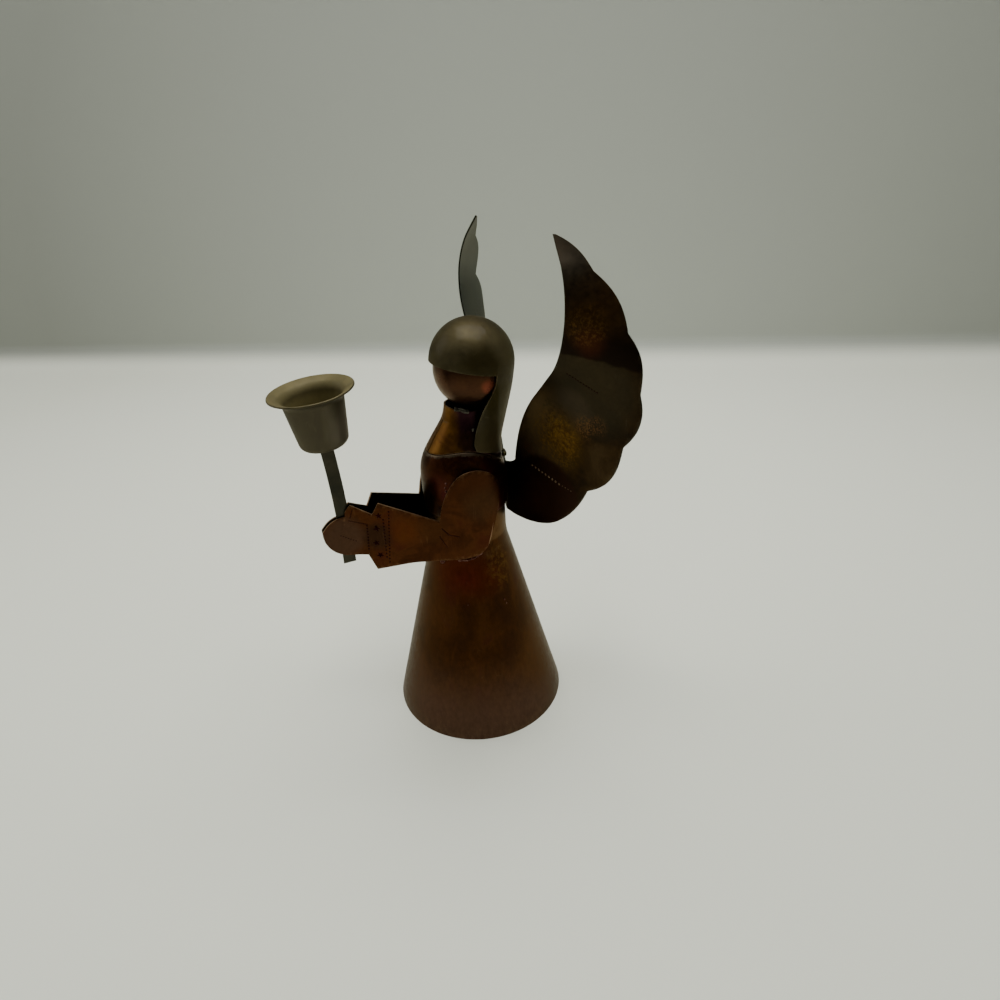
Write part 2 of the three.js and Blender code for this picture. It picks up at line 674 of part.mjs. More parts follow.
function buildAngel() {
  const angel = new THREE.Group();
  angel.add(piece('skirt', skirt(), 'skirtCopper'));
  angel.add(piece('bodice', bodice(), 'goldenCopper'));
  angel.add(piece('collar', collar(), 'goldenCopper'));
  angel.add(piece('hair', hair(), 'brass'));
  const face = piece('head', head(), 'faceCopper');
  face.position.copy(ball);
  angel.add(face);

  const cup = piece('candle_cup', candleCup(), 'brass');
  cup.position.set(0, -CUP_REACH, CUP_HEIGHT);
  cup.rotation.x = cupTilt;
  angel.add(cup);
  angel.add(piece('stem', stem(), 'brass'));

  for (const [side, name] of [[1, 'left'], [-1, 'right']]) {
    angel.add(piece(`wing_${name}`, wing(side), 'darkBrass'));
    angel.add(piece(`arm_${name}`, arm(side), 'sleeveCopper'));
    angel.add(piece(`solder_shoulder_${name}`, shoulderSolder(side), 'solder'));
    angel.add(piece(`solder_elbow_${name}`, elbowSolder(side), 'solder'));
    angel.add(piece(`solder_collar_${name}`, collarSolder(side), 'solder'));
  }
  angel.add(piece('solder_waist', waistSolder(), 'solder'));
  angel.add(piece('solder_hair', hairSolder(), 'solder'));
  angel.add(piece('solder_wings', wingSolder(), 'solder'));
  angel.add(piece('solder_hands', handSolder(), 'solder'));
  angel.add(piece('solder_cup', cupSolder(), 'solder'));
  angel.add(piece('solder_skirt_seam', skirtSolder(), 'solder'));
  return angel;
}

// The model stands with the middle of its box's underside on the origin.
const candleHolder = new THREE.Group();
const angel = buildAngel();
candleHolder.add(angel);
candleHolder.updateMatrixWorld(true);
const box = new THREE.Box3().setFromObject(candleHolder, true);
const boxMiddle = box.getCenter(new THREE.Vector3());
angel.position.set(-boxMiddle.x, -boxMiddle.y, -box.min.z);

export default candleHolder;
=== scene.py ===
# %% [markdown]
# # An angel that holds a candle, in flame-coloured copper
# The real figure is sheet metal: a rolled cone for the skirt, a barrel for the bodice, a wrapped
# collar, a domed sheet for the hair, a hollow ball for the face, two stamped wings and two stamped
# sleeves. The hands hold a flat brass stem with a spun cup on it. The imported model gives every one
# of these at its real size. This lesson gives them smooth surfaces, stamped marks, solder and the
# colours of heated copper.

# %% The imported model
import math
from collections import namedtuple

import bmesh
import bpy
from mathutils import Matrix, Vector, noise
from mathutils.bvhtree import BVHTree


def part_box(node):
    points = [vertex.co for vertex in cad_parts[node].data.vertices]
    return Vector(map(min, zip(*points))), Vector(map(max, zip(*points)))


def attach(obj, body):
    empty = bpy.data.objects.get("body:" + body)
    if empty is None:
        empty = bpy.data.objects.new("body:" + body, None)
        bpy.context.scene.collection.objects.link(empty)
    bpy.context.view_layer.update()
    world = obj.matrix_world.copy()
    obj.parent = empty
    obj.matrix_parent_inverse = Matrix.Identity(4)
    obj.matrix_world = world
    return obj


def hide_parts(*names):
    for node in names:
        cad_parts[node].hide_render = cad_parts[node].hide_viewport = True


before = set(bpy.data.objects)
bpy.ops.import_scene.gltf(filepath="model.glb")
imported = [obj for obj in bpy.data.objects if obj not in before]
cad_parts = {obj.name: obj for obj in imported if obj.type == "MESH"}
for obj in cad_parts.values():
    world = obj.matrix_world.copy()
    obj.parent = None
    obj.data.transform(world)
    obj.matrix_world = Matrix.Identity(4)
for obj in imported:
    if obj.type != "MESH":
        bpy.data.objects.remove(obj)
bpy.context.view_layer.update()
MM = 0.001
UPWARD = Vector((0, 0, 1))
skirt_low, skirt_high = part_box("skirt")
hem_centre = Vector((0, (skirt_low.y + skirt_high.y) / 2, 0))
print("skirt axis at y =", round(hem_centre.y / MM, 2), "mm")

# %% [markdown]
# ## The camera
# The photograph was taken from above the figure's left shoulder, with a wide lens and tilted by
# three degrees. The place and the turn were worked out from the round hem, the two mirrored wings
# and the ball of the face. A camera's own axes are right, up and backwards, so a matrix with these
# three columns turns it.

# %% Where the camera stands and looks
CAMERA_FROM_HEM = Vector((268.9, -90.6, 263.5)) * MM
LOOKING_DOWN = math.radians(28.58)
FROM_THE_LEFT = math.radians(21.784)
CAMERA_ROLL = math.radians(-3.207)

camera_place = hem_centre + CAMERA_FROM_HEM
fall = -math.tan(LOOKING_DOWN)
ahead = Vector((-math.cos(FROM_THE_LEFT), math.sin(FROM_THE_LEFT), fall)).normalized()
level_right = ahead.cross(UPWARD).normalized()
level_up = level_right.cross(ahead)
right = level_right * math.cos(CAMERA_ROLL) + level_up * math.sin(CAMERA_ROLL)
up = level_up * math.cos(CAMERA_ROLL) - level_right * math.sin(CAMERA_ROLL)
print("the camera stands", round(CAMERA_FROM_HEM.length / MM), "mm from the hem's centre")

# %% The camera
SENSOR_WIDTH = 36
FOCAL_PIXELS = 694
PICTURE_PIXELS = 1000
CLIP_START = 10 * MM

camera_data = bpy.data.cameras.new("camera")
camera_data.sensor_width = SENSOR_WIDTH
camera_data.lens = SENSOR_WIDTH * FOCAL_PIXELS / PICTURE_PIXELS
camera_data.clip_start = CLIP_START
camera = bpy.data.objects.new("camera", camera_data)
bpy.context.scene.collection.objects.link(camera)
camera_turn = Matrix((right, up, -ahead)).transposed().to_4x4()
camera.matrix_world = Matrix.Translation(camera_place) @ camera_turn
bpy.context.scene.camera = camera
print("lens", round(camera_data.lens, 2), "mm")

# %% [markdown]
# ## Finding what a pixel shows
# Stamped marks and heat spots are easiest to place where the photograph shows them. A ray from the
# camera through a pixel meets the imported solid, which gives a point on the metal.


# %% From a pixel to what its ray meets
def ray_through(pixel):
    """The direction from the camera through a pixel of the photograph."""
    across = (pixel[0] - PICTURE_PIXELS / 2) / FOCAL_PIXELS
    down = (pixel[1] - PICTURE_PIXELS / 2) / FOCAL_PIXELS
    return (ahead + right * across - up * down).normalized()


def first_hit(tree, pixel):
    """Where the ray first meets a tree's faces, and the way that the metal faces there."""
    place, normal, _, _ = tree.ray_cast(camera_place, ray_through(pixel))
    if place is None:
        raise ValueError(f"the ray through {pixel} meets nothing")
    return place, normal


print("the top left corner lies along", ray_through((0, 0)))

# %% From a pixel to a point on the metal
solid_trees = {}


def solid_tree(node):
    """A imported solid's faces in a tree that finds what a ray hits. It is made once."""
    if node not in solid_trees:
        solid = bmesh.new()
        solid.from_mesh(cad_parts[node].data)
        solid_trees[node] = BVHTree.FromBMesh(solid)
        solid.free()
    return solid_trees[node]


def metal_at(node, pixel):
    """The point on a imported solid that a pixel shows."""
    return first_hit(solid_tree(node), pixel)[0]


print("pixel (472, 336) shows the hair at", metal_at("hair", (472, 336)))

# %% [markdown]
# ## The studio
# The figure stands on a pale floor before a pale wall, under one wide soft light from above. Metal
# shows what stands round it, so the room matters: the wall and the floor are pale, and the room in
# front of the figure is dimmer. The world's colour therefore goes from light behind the figure to
# grey before it.


# %% Colours for the shader
def linear(hex_colour):
    """A linear colour for the shader from an sRGB hex value."""
    channels = [int(hex_colour[k : k + 2], 16) / 255 for k in (1, 3, 5)]
    curve = [c / 12.92 if c <= 0.04045 else ((c + 0.055) / 1.055) ** 2.4 for c in channels]
    return (*curve, 1)


print("#808080 is", round(linear("#808080")[0], 3), "of white in linear light")

# %% Adding a node
# A Mix node has sockets for every kind of value. These are the ones for two colours and the result.
COLOUR_A, COLOUR_B, MIXED = 6, 7, 2
# A Map Range node with this setting starts and ends its change gently.
SOFTLY = {"interpolation_type": "SMOOTHSTEP"}


def add(tree, kind, inputs=None, **settings):
    """A new shader node with its settings, and with values or links on its inputs."""
    made = tree.nodes.new("ShaderNode" + kind)
    for name, value in settings.items():
        setattr(made, name, value)
    for name, value in (inputs or {}).items():
        if isinstance(value, bpy.types.NodeSocket):
            tree.links.new(value, made.inputs[name])
        else:
            made.inputs[name].default_value = value
    return made


print("colours mix in sockets", COLOUR_A, "and", COLOUR_B)


# %% Nodes that are used often
def calculated(tree, operation, *values):
    return add(tree, "Math", dict(enumerate(values)), operation=operation).outputs[0]


def ramped(tree, value, start, stop, low=0.0, high=1.0, **settings):
    """The value's way from start to stop becomes the way from low to high."""
    ends = {"Value": value, "From Min": start, "From Max": stop, "To Min": low, "To Max": high}
    return add(tree, "MapRange", ends, **settings).outputs[0]


def mixed(tree, share, one, other, blend="MIX"):
    """The one colour, with its share of the other over it."""
    colours = {"Factor": share, COLOUR_A: one, COLOUR_B: other}
    return add(tree, "Mix", colours, data_type="RGBA", blend_type=blend).outputs[MIXED]


def noisy(tree, place, size, **settings):
    """Noise with waves of the size in mm."""
    waves = {"Vector": place, "Scale": 1 / (size * MM), **settings}
    return add(tree, "TexNoise", waves).outputs["Fac"]


print("a gentle change is", SOFTLY["interpolation_type"])

# %% The room that the metal mirrors
ROOM_BEHIND = "#a4a6a0"
ROOM_IN_FRONT = "#444442"
DIM_FROM, DIM_TO = -0.25, 1.0
DARK_SIDE_TURN = 0.1

world = bpy.data.worlds.new("studio")
bpy.context.scene.world = world
world.use_nodes = True
room = world.node_tree
toward_camera = Vector((-ahead.x, -ahead.y, 0)).normalized()
dark_side = (toward_camera - level_right * DARK_SIDE_TURN).normalized()
direction = add(room, "TexCoord").outputs["Generated"]
sides = {0: direction, 1: dark_side}
facing = add(room, "VectorMath", sides, operation="DOT_PRODUCT").outputs["Value"]
fade = ramped(room, facing, DIM_FROM, DIM_TO, **SOFTLY)
walls = mixed(room, fade, linear(ROOM_BEHIND), linear(ROOM_IN_FRONT))
room.links.new(walls, room.nodes["Background"].inputs["Color"])
room.nodes["Background"].inputs["Strength"].default_value = 1.0
print("room is darkest toward", dark_side)

# %% [markdown]
# ## Floor and wall
# One long sheet of matt paper bends from the floor up the wall, so no line shows between them. Here
# it is an outline of two edges with a rounded corner, pulled out sideways. Its colour is paler in
# the pool of light round the figure and darker up the wall.


# %% New objects and materials, and points on the floor
def finished(name, shape, materials=()):
    """Makes an object at the origin from a bmesh, with its materials."""
    mesh = bpy.data.meshes.new(name)
    shape.to_mesh(mesh)
    shape.free()
    thing = bpy.data.objects.new(name, mesh)
    bpy.context.scene.collection.objects.link(thing)
    for material in materials:
        mesh.materials.append(material)
    return thing


def new_material(name):
    """A material with its node tree, its shader and the place that patterns are drawn by."""
    material = bpy.data.materials.new(name)
    material.use_nodes = True
    tree = material.node_tree
    place = add(tree, "TexCoord").outputs["Object"]
    return material, tree, tree.nodes["Principled BSDF"], place


def on_floor(pixel):
    """The point on the floor that a pixel shows."""
    ray = ray_through(pixel)
    return camera_place - ray * (camera_place.z / ray.z)


LIGHT_POOL = (510, 470)
pool_centre = on_floor(LIGHT_POOL)
print("the pool of light lies at", pool_centre)

# %% Pale matt paper
# Colour in the pool, colour away from it, and where the change starts and ends in metres.
FLOOR_PAPER = ("#f2f4e4", "#dfe1d1", 0.2, 0.6)
WALL_PAPER = ("#bcc0b7", "#9a9d94", 0.3, 0.72)
WALL_TONE_FROM, WALL_TONE_TO = 2 * MM, 22 * MM

paper, tree, shader, place = new_material("pale_matt_paper")
ends = {0: place, 1: pool_centre}
away = add(tree, "VectorMath", ends, operation="DISTANCE").outputs["Value"]
tones = []
for near, far, starts, stops in (FLOOR_PAPER, WALL_PAPER):
    share = ramped(tree, away, starts, stops)
    tones.append(mixed(tree, share, linear(near), linear(far)))
height = add(tree, "SeparateXYZ", {0: place}).outputs["Z"]
risen = ramped(tree, height, WALL_TONE_FROM, WALL_TONE_TO, **SOFTLY)
tree.links.new(mixed(tree, risen, *tones), shader.inputs["Base Color"])
shader.inputs["Roughness"].default_value = 0.9
print("paper has", len(tree.nodes), "nodes")


# %% Outlines with rounded corners
def outline(points):
    """An open line of straight edges through the points, and its corners."""
    shape = bmesh.new()
    corners = [shape.verts.new(point) for point in points]
    for pair in zip(corners, corners[1:]):
        shape.edges.new(pair)
    return shape, corners


def round_corner(shape, corner, reach, steps):
    bmesh.ops.bevel(
        shape, geom=[corner], offset=reach, segments=steps, profile=0.5, affect="VERTICES",
        material=-1
    )


print("corners are rounded by a bevel")

# %% Floor and wall, one sheet with a rounded cove
FLOOR_REACH = 2.4
WALL_HEIGHT = 1.3
COVE_RADIUS = 0.03
COVE_STEPS = 16
WALL_FOOT_LEFT = (125, 365)
WALL_FOOT_RIGHT = (875, 358)

wall_left = on_floor(WALL_FOOT_LEFT)
along_wall = (on_floor(WALL_FOOT_RIGHT) - wall_left).normalized()
to_wall = UPWARD.cross(along_wall)
foot = wall_left - along_wall * FLOOR_REACH
points = [foot - to_wall * 2 * FLOOR_REACH, foot, foot + UPWARD * WALL_HEIGHT]
cove, corners = outline(points)
round_corner(cove, corners[1], COVE_RADIUS, COVE_STEPS)
sheet = bmesh.ops.extrude_edge_only(cove, edges=cove.edges[:])
moved = [part for part in sheet["geom"] if isinstance(part, bmesh.types.BMVert)]
bmesh.ops.translate(cove, verts=moved, vec=along_wall * 2 * FLOOR_REACH)
bmesh.ops.recalc_face_normals(cove, faces=cove.faces)
floor = finished("floor_and_wall", cove, [paper])
print("wall", round((wall_left - hem_centre).dot(to_wall), 3), "m behind the figure")

# %% [markdown]
# ## Soft lights
# One wide lamp hangs over the figure, and a weak one stands in for a window. Wide lamps give soft
# shadows and broad, quiet highlights on bent metal.

# %% Two soft lights
figure_middle = hem_centre + Vector((0, 0, 0.1))
ceiling_place = hem_centre + to_wall * 0.25 + Vector((0, 0, 1.4))
window_place = hem_centre - along_wall * 1.3 + to_wall * 0.2 + Vector((0, 0, 0.8))


def soft_light(name, place, size, power):
    """A square lamp that looks at the figure. Its size is in metres and its power in watts."""
    data = bpy.data.lights.new(name, "AREA")
    data.size = size
    data.energy = power
    lamp = bpy.data.objects.new(name, data)
    bpy.context.scene.collection.objects.link(lamp)
    lamp.location = place
    lamp.rotation_euler = (figure_middle - lamp.location).to_track_quat("-Z", "Y").to_euler()


soft_light("ceiling_light", ceiling_place, size=1.3, power=29)
soft_light("window_light", window_place, size=0.8, power=3)
print("window light", round((window_place - figure_middle).length, 2), "m from the figure")

# %% [markdown]
# ## Copper coloured by the flame
# Bare copper is pink-orange. Heated in air it grows a thin oxide film whose colour runs from gold
# through orange, red-brown and purple to a dark grey-brown, in clouds that follow the torch. A
# clear lacquer keeps it. So one function makes the metal. Cloudy noise picks a colour from a ramp
# of oxide colours. Zones then tint the places that the flame or the hand treated in another way,
# and some zones are painted shade and painted reflections. A zone is measured from a point or
# along a direction, and its border wanders like a real heat mark. Fine specks, hair scratches and
# a paler rim follow.

# %% Borders that wander
WANDER_SIZE = 7


def wandering(tree, place, reach):
    """The place, moved by noise by up to reach mm, so that its borders are uneven."""
    wavy = {"Vector": place, "Scale": 1 / (WANDER_SIZE * MM), "Detail": 4}
    waves = add(tree, "TexNoise", wavy).outputs["Color"]
    from_middle = {0: waves, 1: (0.5, 0.5, 0.5)}
    centred = add(tree, "VectorMath", from_middle, operation="SUBTRACT").outputs[0]
    moved = {0: centred, 1: (2 * reach * MM,) * 3, 2: place}
    return add(tree, "VectorMath", moved, operation="MULTIPLY_ADD").outputs[0]


print("borders wander about every", WANDER_SIZE, "mm")


# %% Zones round a point or along a direction
# A tint starts and is full at the two distances of fade, in mm, and covers up to its share. A grain
# breaks it up into flecks of that size in mm.
Zone = namedtuple("Zone", "measure start fade tint share grain", defaults=(1.0, None))


def spots(node, *rows):
    """Zones round points. A row has the pixel that shows the point, fade, tint, share and grain."""
    return [Zone("DISTANCE", metal_at(node, pixel), *row) for pixel, *row in rows]


def band(direction, *row):
    """A zone along a direction, with fade, tint and share."""
    return Zone("DOT_PRODUCT", direction, *row)


print("a zone has", *Zone._fields)

# %% How strongly a zone tints
FLECKS_FROM, FLECKS_TO = 0.46, 0.6


def zone_share(tree, place, zone):
    """The share of the zone's tint at each point."""
    ends = {0: place, 1: zone.start}
    measure = add(tree, "VectorMath", ends, operation=zone.measure).outputs["Value"]
    starts, full = (distance * MM for distance in zone.fade)
    share = ramped(tree, measure, starts, full, high=zone.share, **SOFTLY)
    if not zone.grain:
        return share
    grain = noisy(tree, place, zone.grain, Detail=6, Roughness=0.74)
    flecks = ramped(tree, grain, FLECKS_FROM, FLECKS_TO, **SOFTLY)
    return calculated(tree, "MULTIPLY", share, flecks)


def tinted(tree, colour, place, zones):
    """The colour with every zone's tint over it. A later zone hides an earlier one."""
    for zone in zones:
        share = zone_share(tree, place, zone)
        colour = mixed(tree, share, colour, linear(zone.tint))
    return colour


print("flecks cover noise above", FLECKS_FROM)

# %% Hair scratches
SCRATCH_SPACING = 5
SCRATCH_STRETCH = 0.06
SCRATCH_TURNS = ((0.5, 0.9, 0.2), (1.4, -0.4, 0.7))
LINE_FROM, LINE_TO = 0.008, 0.002
PATCH_SIZE = 9
PATCH_FROM, PATCH_TO = 0.57, 0.68


def scratch_lines(tree, place, turn):
    """Thin lines where a long-drawn noise passes its middle value. Real ones of 0.02 mm wouldn't
    show, so these are drawn about 0.1 mm wide."""
    along = {"Vector": place, "Rotation": turn, "Scale": (1, 1, SCRATCH_STRETCH)}
    drawn = add(tree, "Mapping", along).outputs[0]
    waves = noisy(tree, drawn, SCRATCH_SPACING, Detail=1)
    away = calculated(tree, "ABSOLUTE", calculated(tree, "SUBTRACT", waves, 0.5))
    return ramped(tree, away, LINE_FROM, LINE_TO)


print("scratch lines drawn out", round(1 / SCRATCH_STRETCH), "times")


# %% Scratches only in patches, where things rubbed
def scratch_share(tree, place, turn):
    lines = scratch_lines(tree, place, turn)
    patches = noisy(tree, place, PATCH_SIZE, Detail=2)
    here = ramped(tree, patches, PATCH_FROM, PATCH_TO)
    return calculated(tree, "MULTIPLY", lines, here)


def scratches(tree, place):
    """Scratches in two directions that cross."""
    one, other = (scratch_share(tree, place, turn) for turn in SCRATCH_TURNS)
    return calculated(tree, "MAXIMUM", one, other)


print("scratched patches of", PATCH_SIZE, "mm")

# %% Clouds of oxide colour
COOLEST, HOTTEST = 0.36, 0.64


def oxide_clouds(tree, place, colours, size):
    """Cloudy noise picks from a ramp of colours that runs from cool to hot. The size is in mm."""
    clouds = noisy(tree, place, size, Detail=6, Roughness=0.62, Distortion=0.5)
    ramp = add(tree, "ValToRGB", {"Fac": clouds})
    stops = ramp.color_ramp.elements
    for k, colour in enumerate(colours):
        at = COOLEST + (HOTTEST - COOLEST) * k / (len(colours) - 1)
        stop = stops[k] if k < 2 else stops.new(at)
        stop.position = at
        stop.color = linear(colour)
    return ramp.outputs["Color"]


print("oxide colours lie between noise", COOLEST, "and", HOTTEST)

# %% Specks of oxide
# Real specks are mostly finer than a pixel, so these are drawn coarser.
SPECK_SIZE = 2
SPECKS_LOW, SPECKS_HIGH = 0.3, 0.7


def oxide_specks(tree, place):
    return noisy(tree, place, SPECK_SIZE, Detail=5, Roughness=0.66)


def speckled(tree, colour, specks, spotted):
    """The colour, darker and paler with the specks by the share "spotted"."""
    shade = ramped(tree, specks, SPECKS_LOW, SPECKS_HIGH, 1 - spotted, 1 + spotted)
    return mixed(tree, 1.0, colour, shade, "MULTIPLY")


print("specks of", SPECK_SIZE, "mm")

# %% A rubbed rim and faint scratches
RIM_BAND = 0.25
SCRATCH_TINT = 0.12


def rubbed_rim_share(tree, specks, starts, most):
    """The attribute near_rim is 1 on the sheet's rim and falls inwards. Specks make it uneven."""
    rim = add(tree, "Attribute", attribute_name="near_rim").outputs["Fac"]
    uneven_rim = calculated(tree, "ADD", rim, calculated(tree, "SUBTRACT", specks, 0.5))
    return ramped(tree, uneven_rim, starts, starts + RIM_BAND, high=most, **SOFTLY)


def worn(tree, colour, wear, rim, scratched):
    """Rubbed metal shows on the rim and, faintly, in the scratches."""
    for share in (rim, calculated(tree, "MULTIPLY", scratched, SCRATCH_TINT)):
        colour = mixed(tree, share, colour, linear(wear))
    return colour


print("scratches take", SCRATCH_TINT, "of the rubbed colour")

# %% Dents, grooves and uneven gloss
DENT_SPACING = 12
DENT_DEPTH = 0.6
GROOVE_DEPTH = 0.02
GROOVE_STRENGTH = 0.12
SMOOTHER, ROUGHER = 0.08, 0.1


def worked_surface(tree, shader, place, specks, scratched, roughness, dent):
    """Shallow dents from bending by hand, fine grooves, and a gloss that varies with the specks."""
    least, most = roughness - SMOOTHER, roughness + ROUGHER
    gloss = ramped(tree, specks, SPECKS_LOW, SPECKS_HIGH, least, most)
    tree.links.new(gloss, shader.inputs["Roughness"])
    dents = noisy(tree, place, DENT_SPACING, Detail=1)
    soft = {"Height": dents, "Strength": dent, "Distance": DENT_DEPTH * MM}
    dented = add(tree, "Bump", soft).outputs["Normal"]
    fine = {"Height": scratched, "Strength": GROOVE_STRENGTH, "Distance": -GROOVE_DEPTH * MM}
    grooved = add(tree, "Bump", {**fine, "Normal": dented}).outputs["Normal"]
    tree.links.new(grooved, shader.inputs["Normal"])


print("dents up to", DENT_DEPTH, "mm deep")


# %% One pattern for two mirrored pieces
def mirrored_place(tree, place):
    """The place, with its distance from the figure's middle plane in place of its X."""
    axes = add(tree, "SeparateXYZ", {0: place}).outputs
    beside = calculated(tree, "ABSOLUTE", axes["X"])
    parts = {0: beside, 1: axes["Y"], 2: axes["Z"]}
    return add(tree, "CombineXYZ", parts).outputs[0]


print("a pattern may be the same on both sides")


# %% The heated metal
def heated_metal(
    name, colours, cloud=20, stretch=1.0, zones=(), both_sides=False, roughness=0.4, dent=0.2,
    lacquer=0.06, lacquer_blur=0.3, wear="#6a5a40", rubbed_rim=0.4, rim_starts=0.85, spotted=0.18,
    border=1.6, metallic=1.0, edge_on="#d3d0c7"
):
    """A lacquered, flame-coloured sheet. The sizes cloud and border are in mm, and stretch draws
    the clouds out upward. edge_on is the colour that the metal gives to a glancing reflection."""
    material, tree, shader, place = new_material(name)
    if both_sides:
        place = mirrored_place(tree, place)
    upright = {"Vector": place, "Scale": (1, 1, 1 / stretch)}
    drawn = add(tree, "Mapping", upright).outputs[0]
    specks = oxide_specks(tree, drawn)
    scratched = scratches(tree, place)
    rim = rubbed_rim_share(tree, specks, rim_starts, rubbed_rim)
    colour = oxide_clouds(tree, drawn, colours, cloud)
    colour = tinted(tree, colour, wandering(tree, place, border), zones)
    colour = speckled(tree, colour, specks, spotted)
    colour = worn(tree, colour, wear, rim, scratched)
    tree.links.new(colour, shader.inputs["Base Color"])
    worked_surface(tree, shader, place, specks, scratched, roughness, dent)
    shader.inputs["Metallic"].default_value = metallic
    shader.inputs["Specular Tint"].default_value = linear(edge_on)
    shader.inputs["Coat Weight"].default_value = lacquer
    shader.inputs["Coat Roughness"].default_value = lacquer_blur
    print(name, "has", len(zones), "zones and", len(tree.nodes), "nodes")
    return material


# %% [markdown]
# ## The skirt, the bodice and the collar
# The zones are placed by pixels of the photograph: the red glow on the skirt below the elbow, the
# golden streak beside it, the purple side of the collar, which is partly painted shade. Painted
# reflections lie on the skirt's hem and on the bodice toward the wings. A pixel gives a point on
# the metal, so a zone stays where it is on the sheet when it is seen from another side.

# %% Skirt copper
# Rolled copper under lacquer: amber-brown in soft upright streaks, with a red glow. Toward the hem
# it is rosy and duller, a painted reflection of the pale floor.
skirt_copper = heated_metal(
    "flame_coloured_skirt_copper_and_painted_floor_reflection",
    ["#2f1804", "#341b03", "#3e2207", "#391c0a"],
    cloud=15, stretch=1.8,
    zones=[
        # Painted reflection of the pale floor: rosy and paler toward the hem.
        band(UPWARD, (44, 6), "#4b362a", 0.85),
        *spots(
            "skirt",
            ((462, 574), (20, 2), "#4a1808", 0.7),
            ((468, 580), (8, 1), "#501412", 0.3),
            ((486, 578), (14, 2), "#4c1c08", 0.45),
            ((500, 560), (11, 2), "#5e421a", 0.6, 2.6),
            ((499, 576), (10, 2), "#5a3c14", 0.6, 3.4),
            ((540, 650), (25, 6), "#44290e", 0.8),
        ),
        band(UPWARD, (95, 97), "#4e3216", 0.9),
    ],
    roughness=0.38, rubbed_rim=0.15, spotted=0.24
)

# %% Bodice copper
# Heated copper, red-brown, with a pale rubbed lip along the neckline. The darker red toward the
# wings is a painted reflection of the wings.
TOWARD_BACK_LEFT = (0.35, 0.94, 0)
bodice_copper = heated_metal(
    "flame_coloured_bodice_copper_and_painted_wing_reflection",
    ["#220c06", "#301506", "#40210a", "#30100a"],
    cloud=12,
    zones=[
        *spots("bodice", ((437, 487), (9, 3), "#441612", 0.45)),
        # Painted reflection of the dark wings: darker red toward the back left.
        band(TOWARD_BACK_LEFT, (22, 27), "#42120a", 0.8),
    ],
    wear="#6c6250", rubbed_rim=0.55, rim_starts=0.6
)

# %% Collar copper
# Copper heated to its first, golden colour. Toward the back it turns dark purple, partly oxide and
# partly painted shade under the ball and the hair.
BACKWARD = (0, 1, 0)
collar_copper = heated_metal(
    "golden_collar_copper_and_painted_shade",
    ["#583714", "#694518", "#745020"],
    cloud=14,
    zones=[
        # Partly purple oxide, partly painted shade: dark purple toward the back.
        band(BACKWARD, (11.3, 14.5), "#361c22"),
        # Painted shade: a dark brown spot on the collar's side by the hair's fall.
        *spots("collar", ((468, 442), (7, 3), "#342010", 0.8)),
    ],
)

# %% [markdown]
# ## The wings
# A wing was heated most: it is dark olive-brown with a grey tip, a nearly black band of painted
# shade along its bend, a pale place under it, and two spots where the flame was taken away early
# and the copper stayed golden. A later zone hides an earlier one, so the list goes from the wide
# zones to the small ones. The material measures from the figure's middle plane, so that one list
# serves both wings.

# %% The wing's upper half, from wide zones to small ones
ACROSS_BAND = (0.2, 0, 0.98)
PALE_MIDDLE = spots("wing_left", ((590, 388), (26, 13), "#292316", 0.8))
BEND_SHADE_AND_BROWN_ABOVE = [
    # Painted shade: a nearly black band where the wing bends. The brown band above it is the sheet's
    # own.
    band(ACROSS_BAND, (195.2, 196.4), "#140a03", 0.92),
    band(ACROSS_BAND, (203, 214), "#48331a", 0.85),
]
TIP = spots(
    "wing_left",
    ((562, 250), (27, 8), "#211f18", 0.85),
    ((575, 262), (8, 2), "#2c2820", 0.35),
)
UPPER_SPOT = spots(
    "wing_left",
    ((588, 326), (11, 3), "#3c260c", 0.5),
    ((590, 343), (8, 2), "#401a0a", 0.45),
    ((587, 325), (9.5, 4), "#5c401c", 0.6, 1.2),
)
print("upper half planned from", UPPER_SPOT[0].start)

# %% The wing's lower half, crackled gold where the flame was taken away
LOWER_SPOT = spots(
    "wing_left",
    ((532, 425), (28, 9), "#6e5a3c", 0.85),
    ((573, 409), (12, 4), "#3a3124", 0.75),
    ((556, 411), (9, 4), "#24210e", 0.6, 1.8),
    ((560, 438), (20, 5), "#43300e", 0.65),
    ((563, 440), (11, 3), "#70501a", 0.45),
    ((556, 440), (17, 5), "#86621e", 0.7, 1.3),
    ((560, 432), (15, 6), "#2c1606", 0.6, 2.2),
    ((584, 428), (7, 1.5), "#74502a", 0.6, 0.8),
    ((598, 426), (6, 1.5), "#6a4626", 0.5, 0.8),
    ((527, 450), (8, 1.5), "#74482a", 0.6, 1.0),
)
ROOT = spots(
    "wing_left",
    ((547, 499), (22, 18.5), "#2c180d", 0.9),
    ((524, 486), (20, 5), "#4a2c20", 0.6),
)
print("lower half planned from", LOWER_SPOT[0].start)

# %% Wing copper
# Copper heated to a dark oxide under lacquer: deep brown with soft borders, and speckled gold. The
# far wing turns its front to the pale wall, and a painted reflection of it makes it grey-green down
# to its middle.
WING_COLOURS = ["#1e1408", "#271a0a", "#31220e", "#3b2c18"]
WING_ZONES = PALE_MIDDLE + BEND_SHADE_AND_BROWN_ABOVE + TIP + UPPER_SPOT + LOWER_SPOT + ROOT
# Painted reflection of the pale wall on the far wing's upper half.
WALL_REFLECTION_ON_FAR_WING = [
    band(UPWARD, (165, 185), "#63665f", 0.9),
    band(UPWARD, (195, 217), "#4c4b45", 0.7),
]
wing_metals = {}
for node, zones in (("wing_left", WING_ZONES), ("wing_right", WING_ZONES + WALL_REFLECTION_ON_FAR_WING)):
    wing_metals[node] = heated_metal(
        f"dark_oxide_copper_and_painted_shade_of_{node}", WING_COLOURS, cloud=16, zones=zones, both_sides=True,
        roughness=0.42, wear="#4a4436", rubbed_rim=0.3
    )
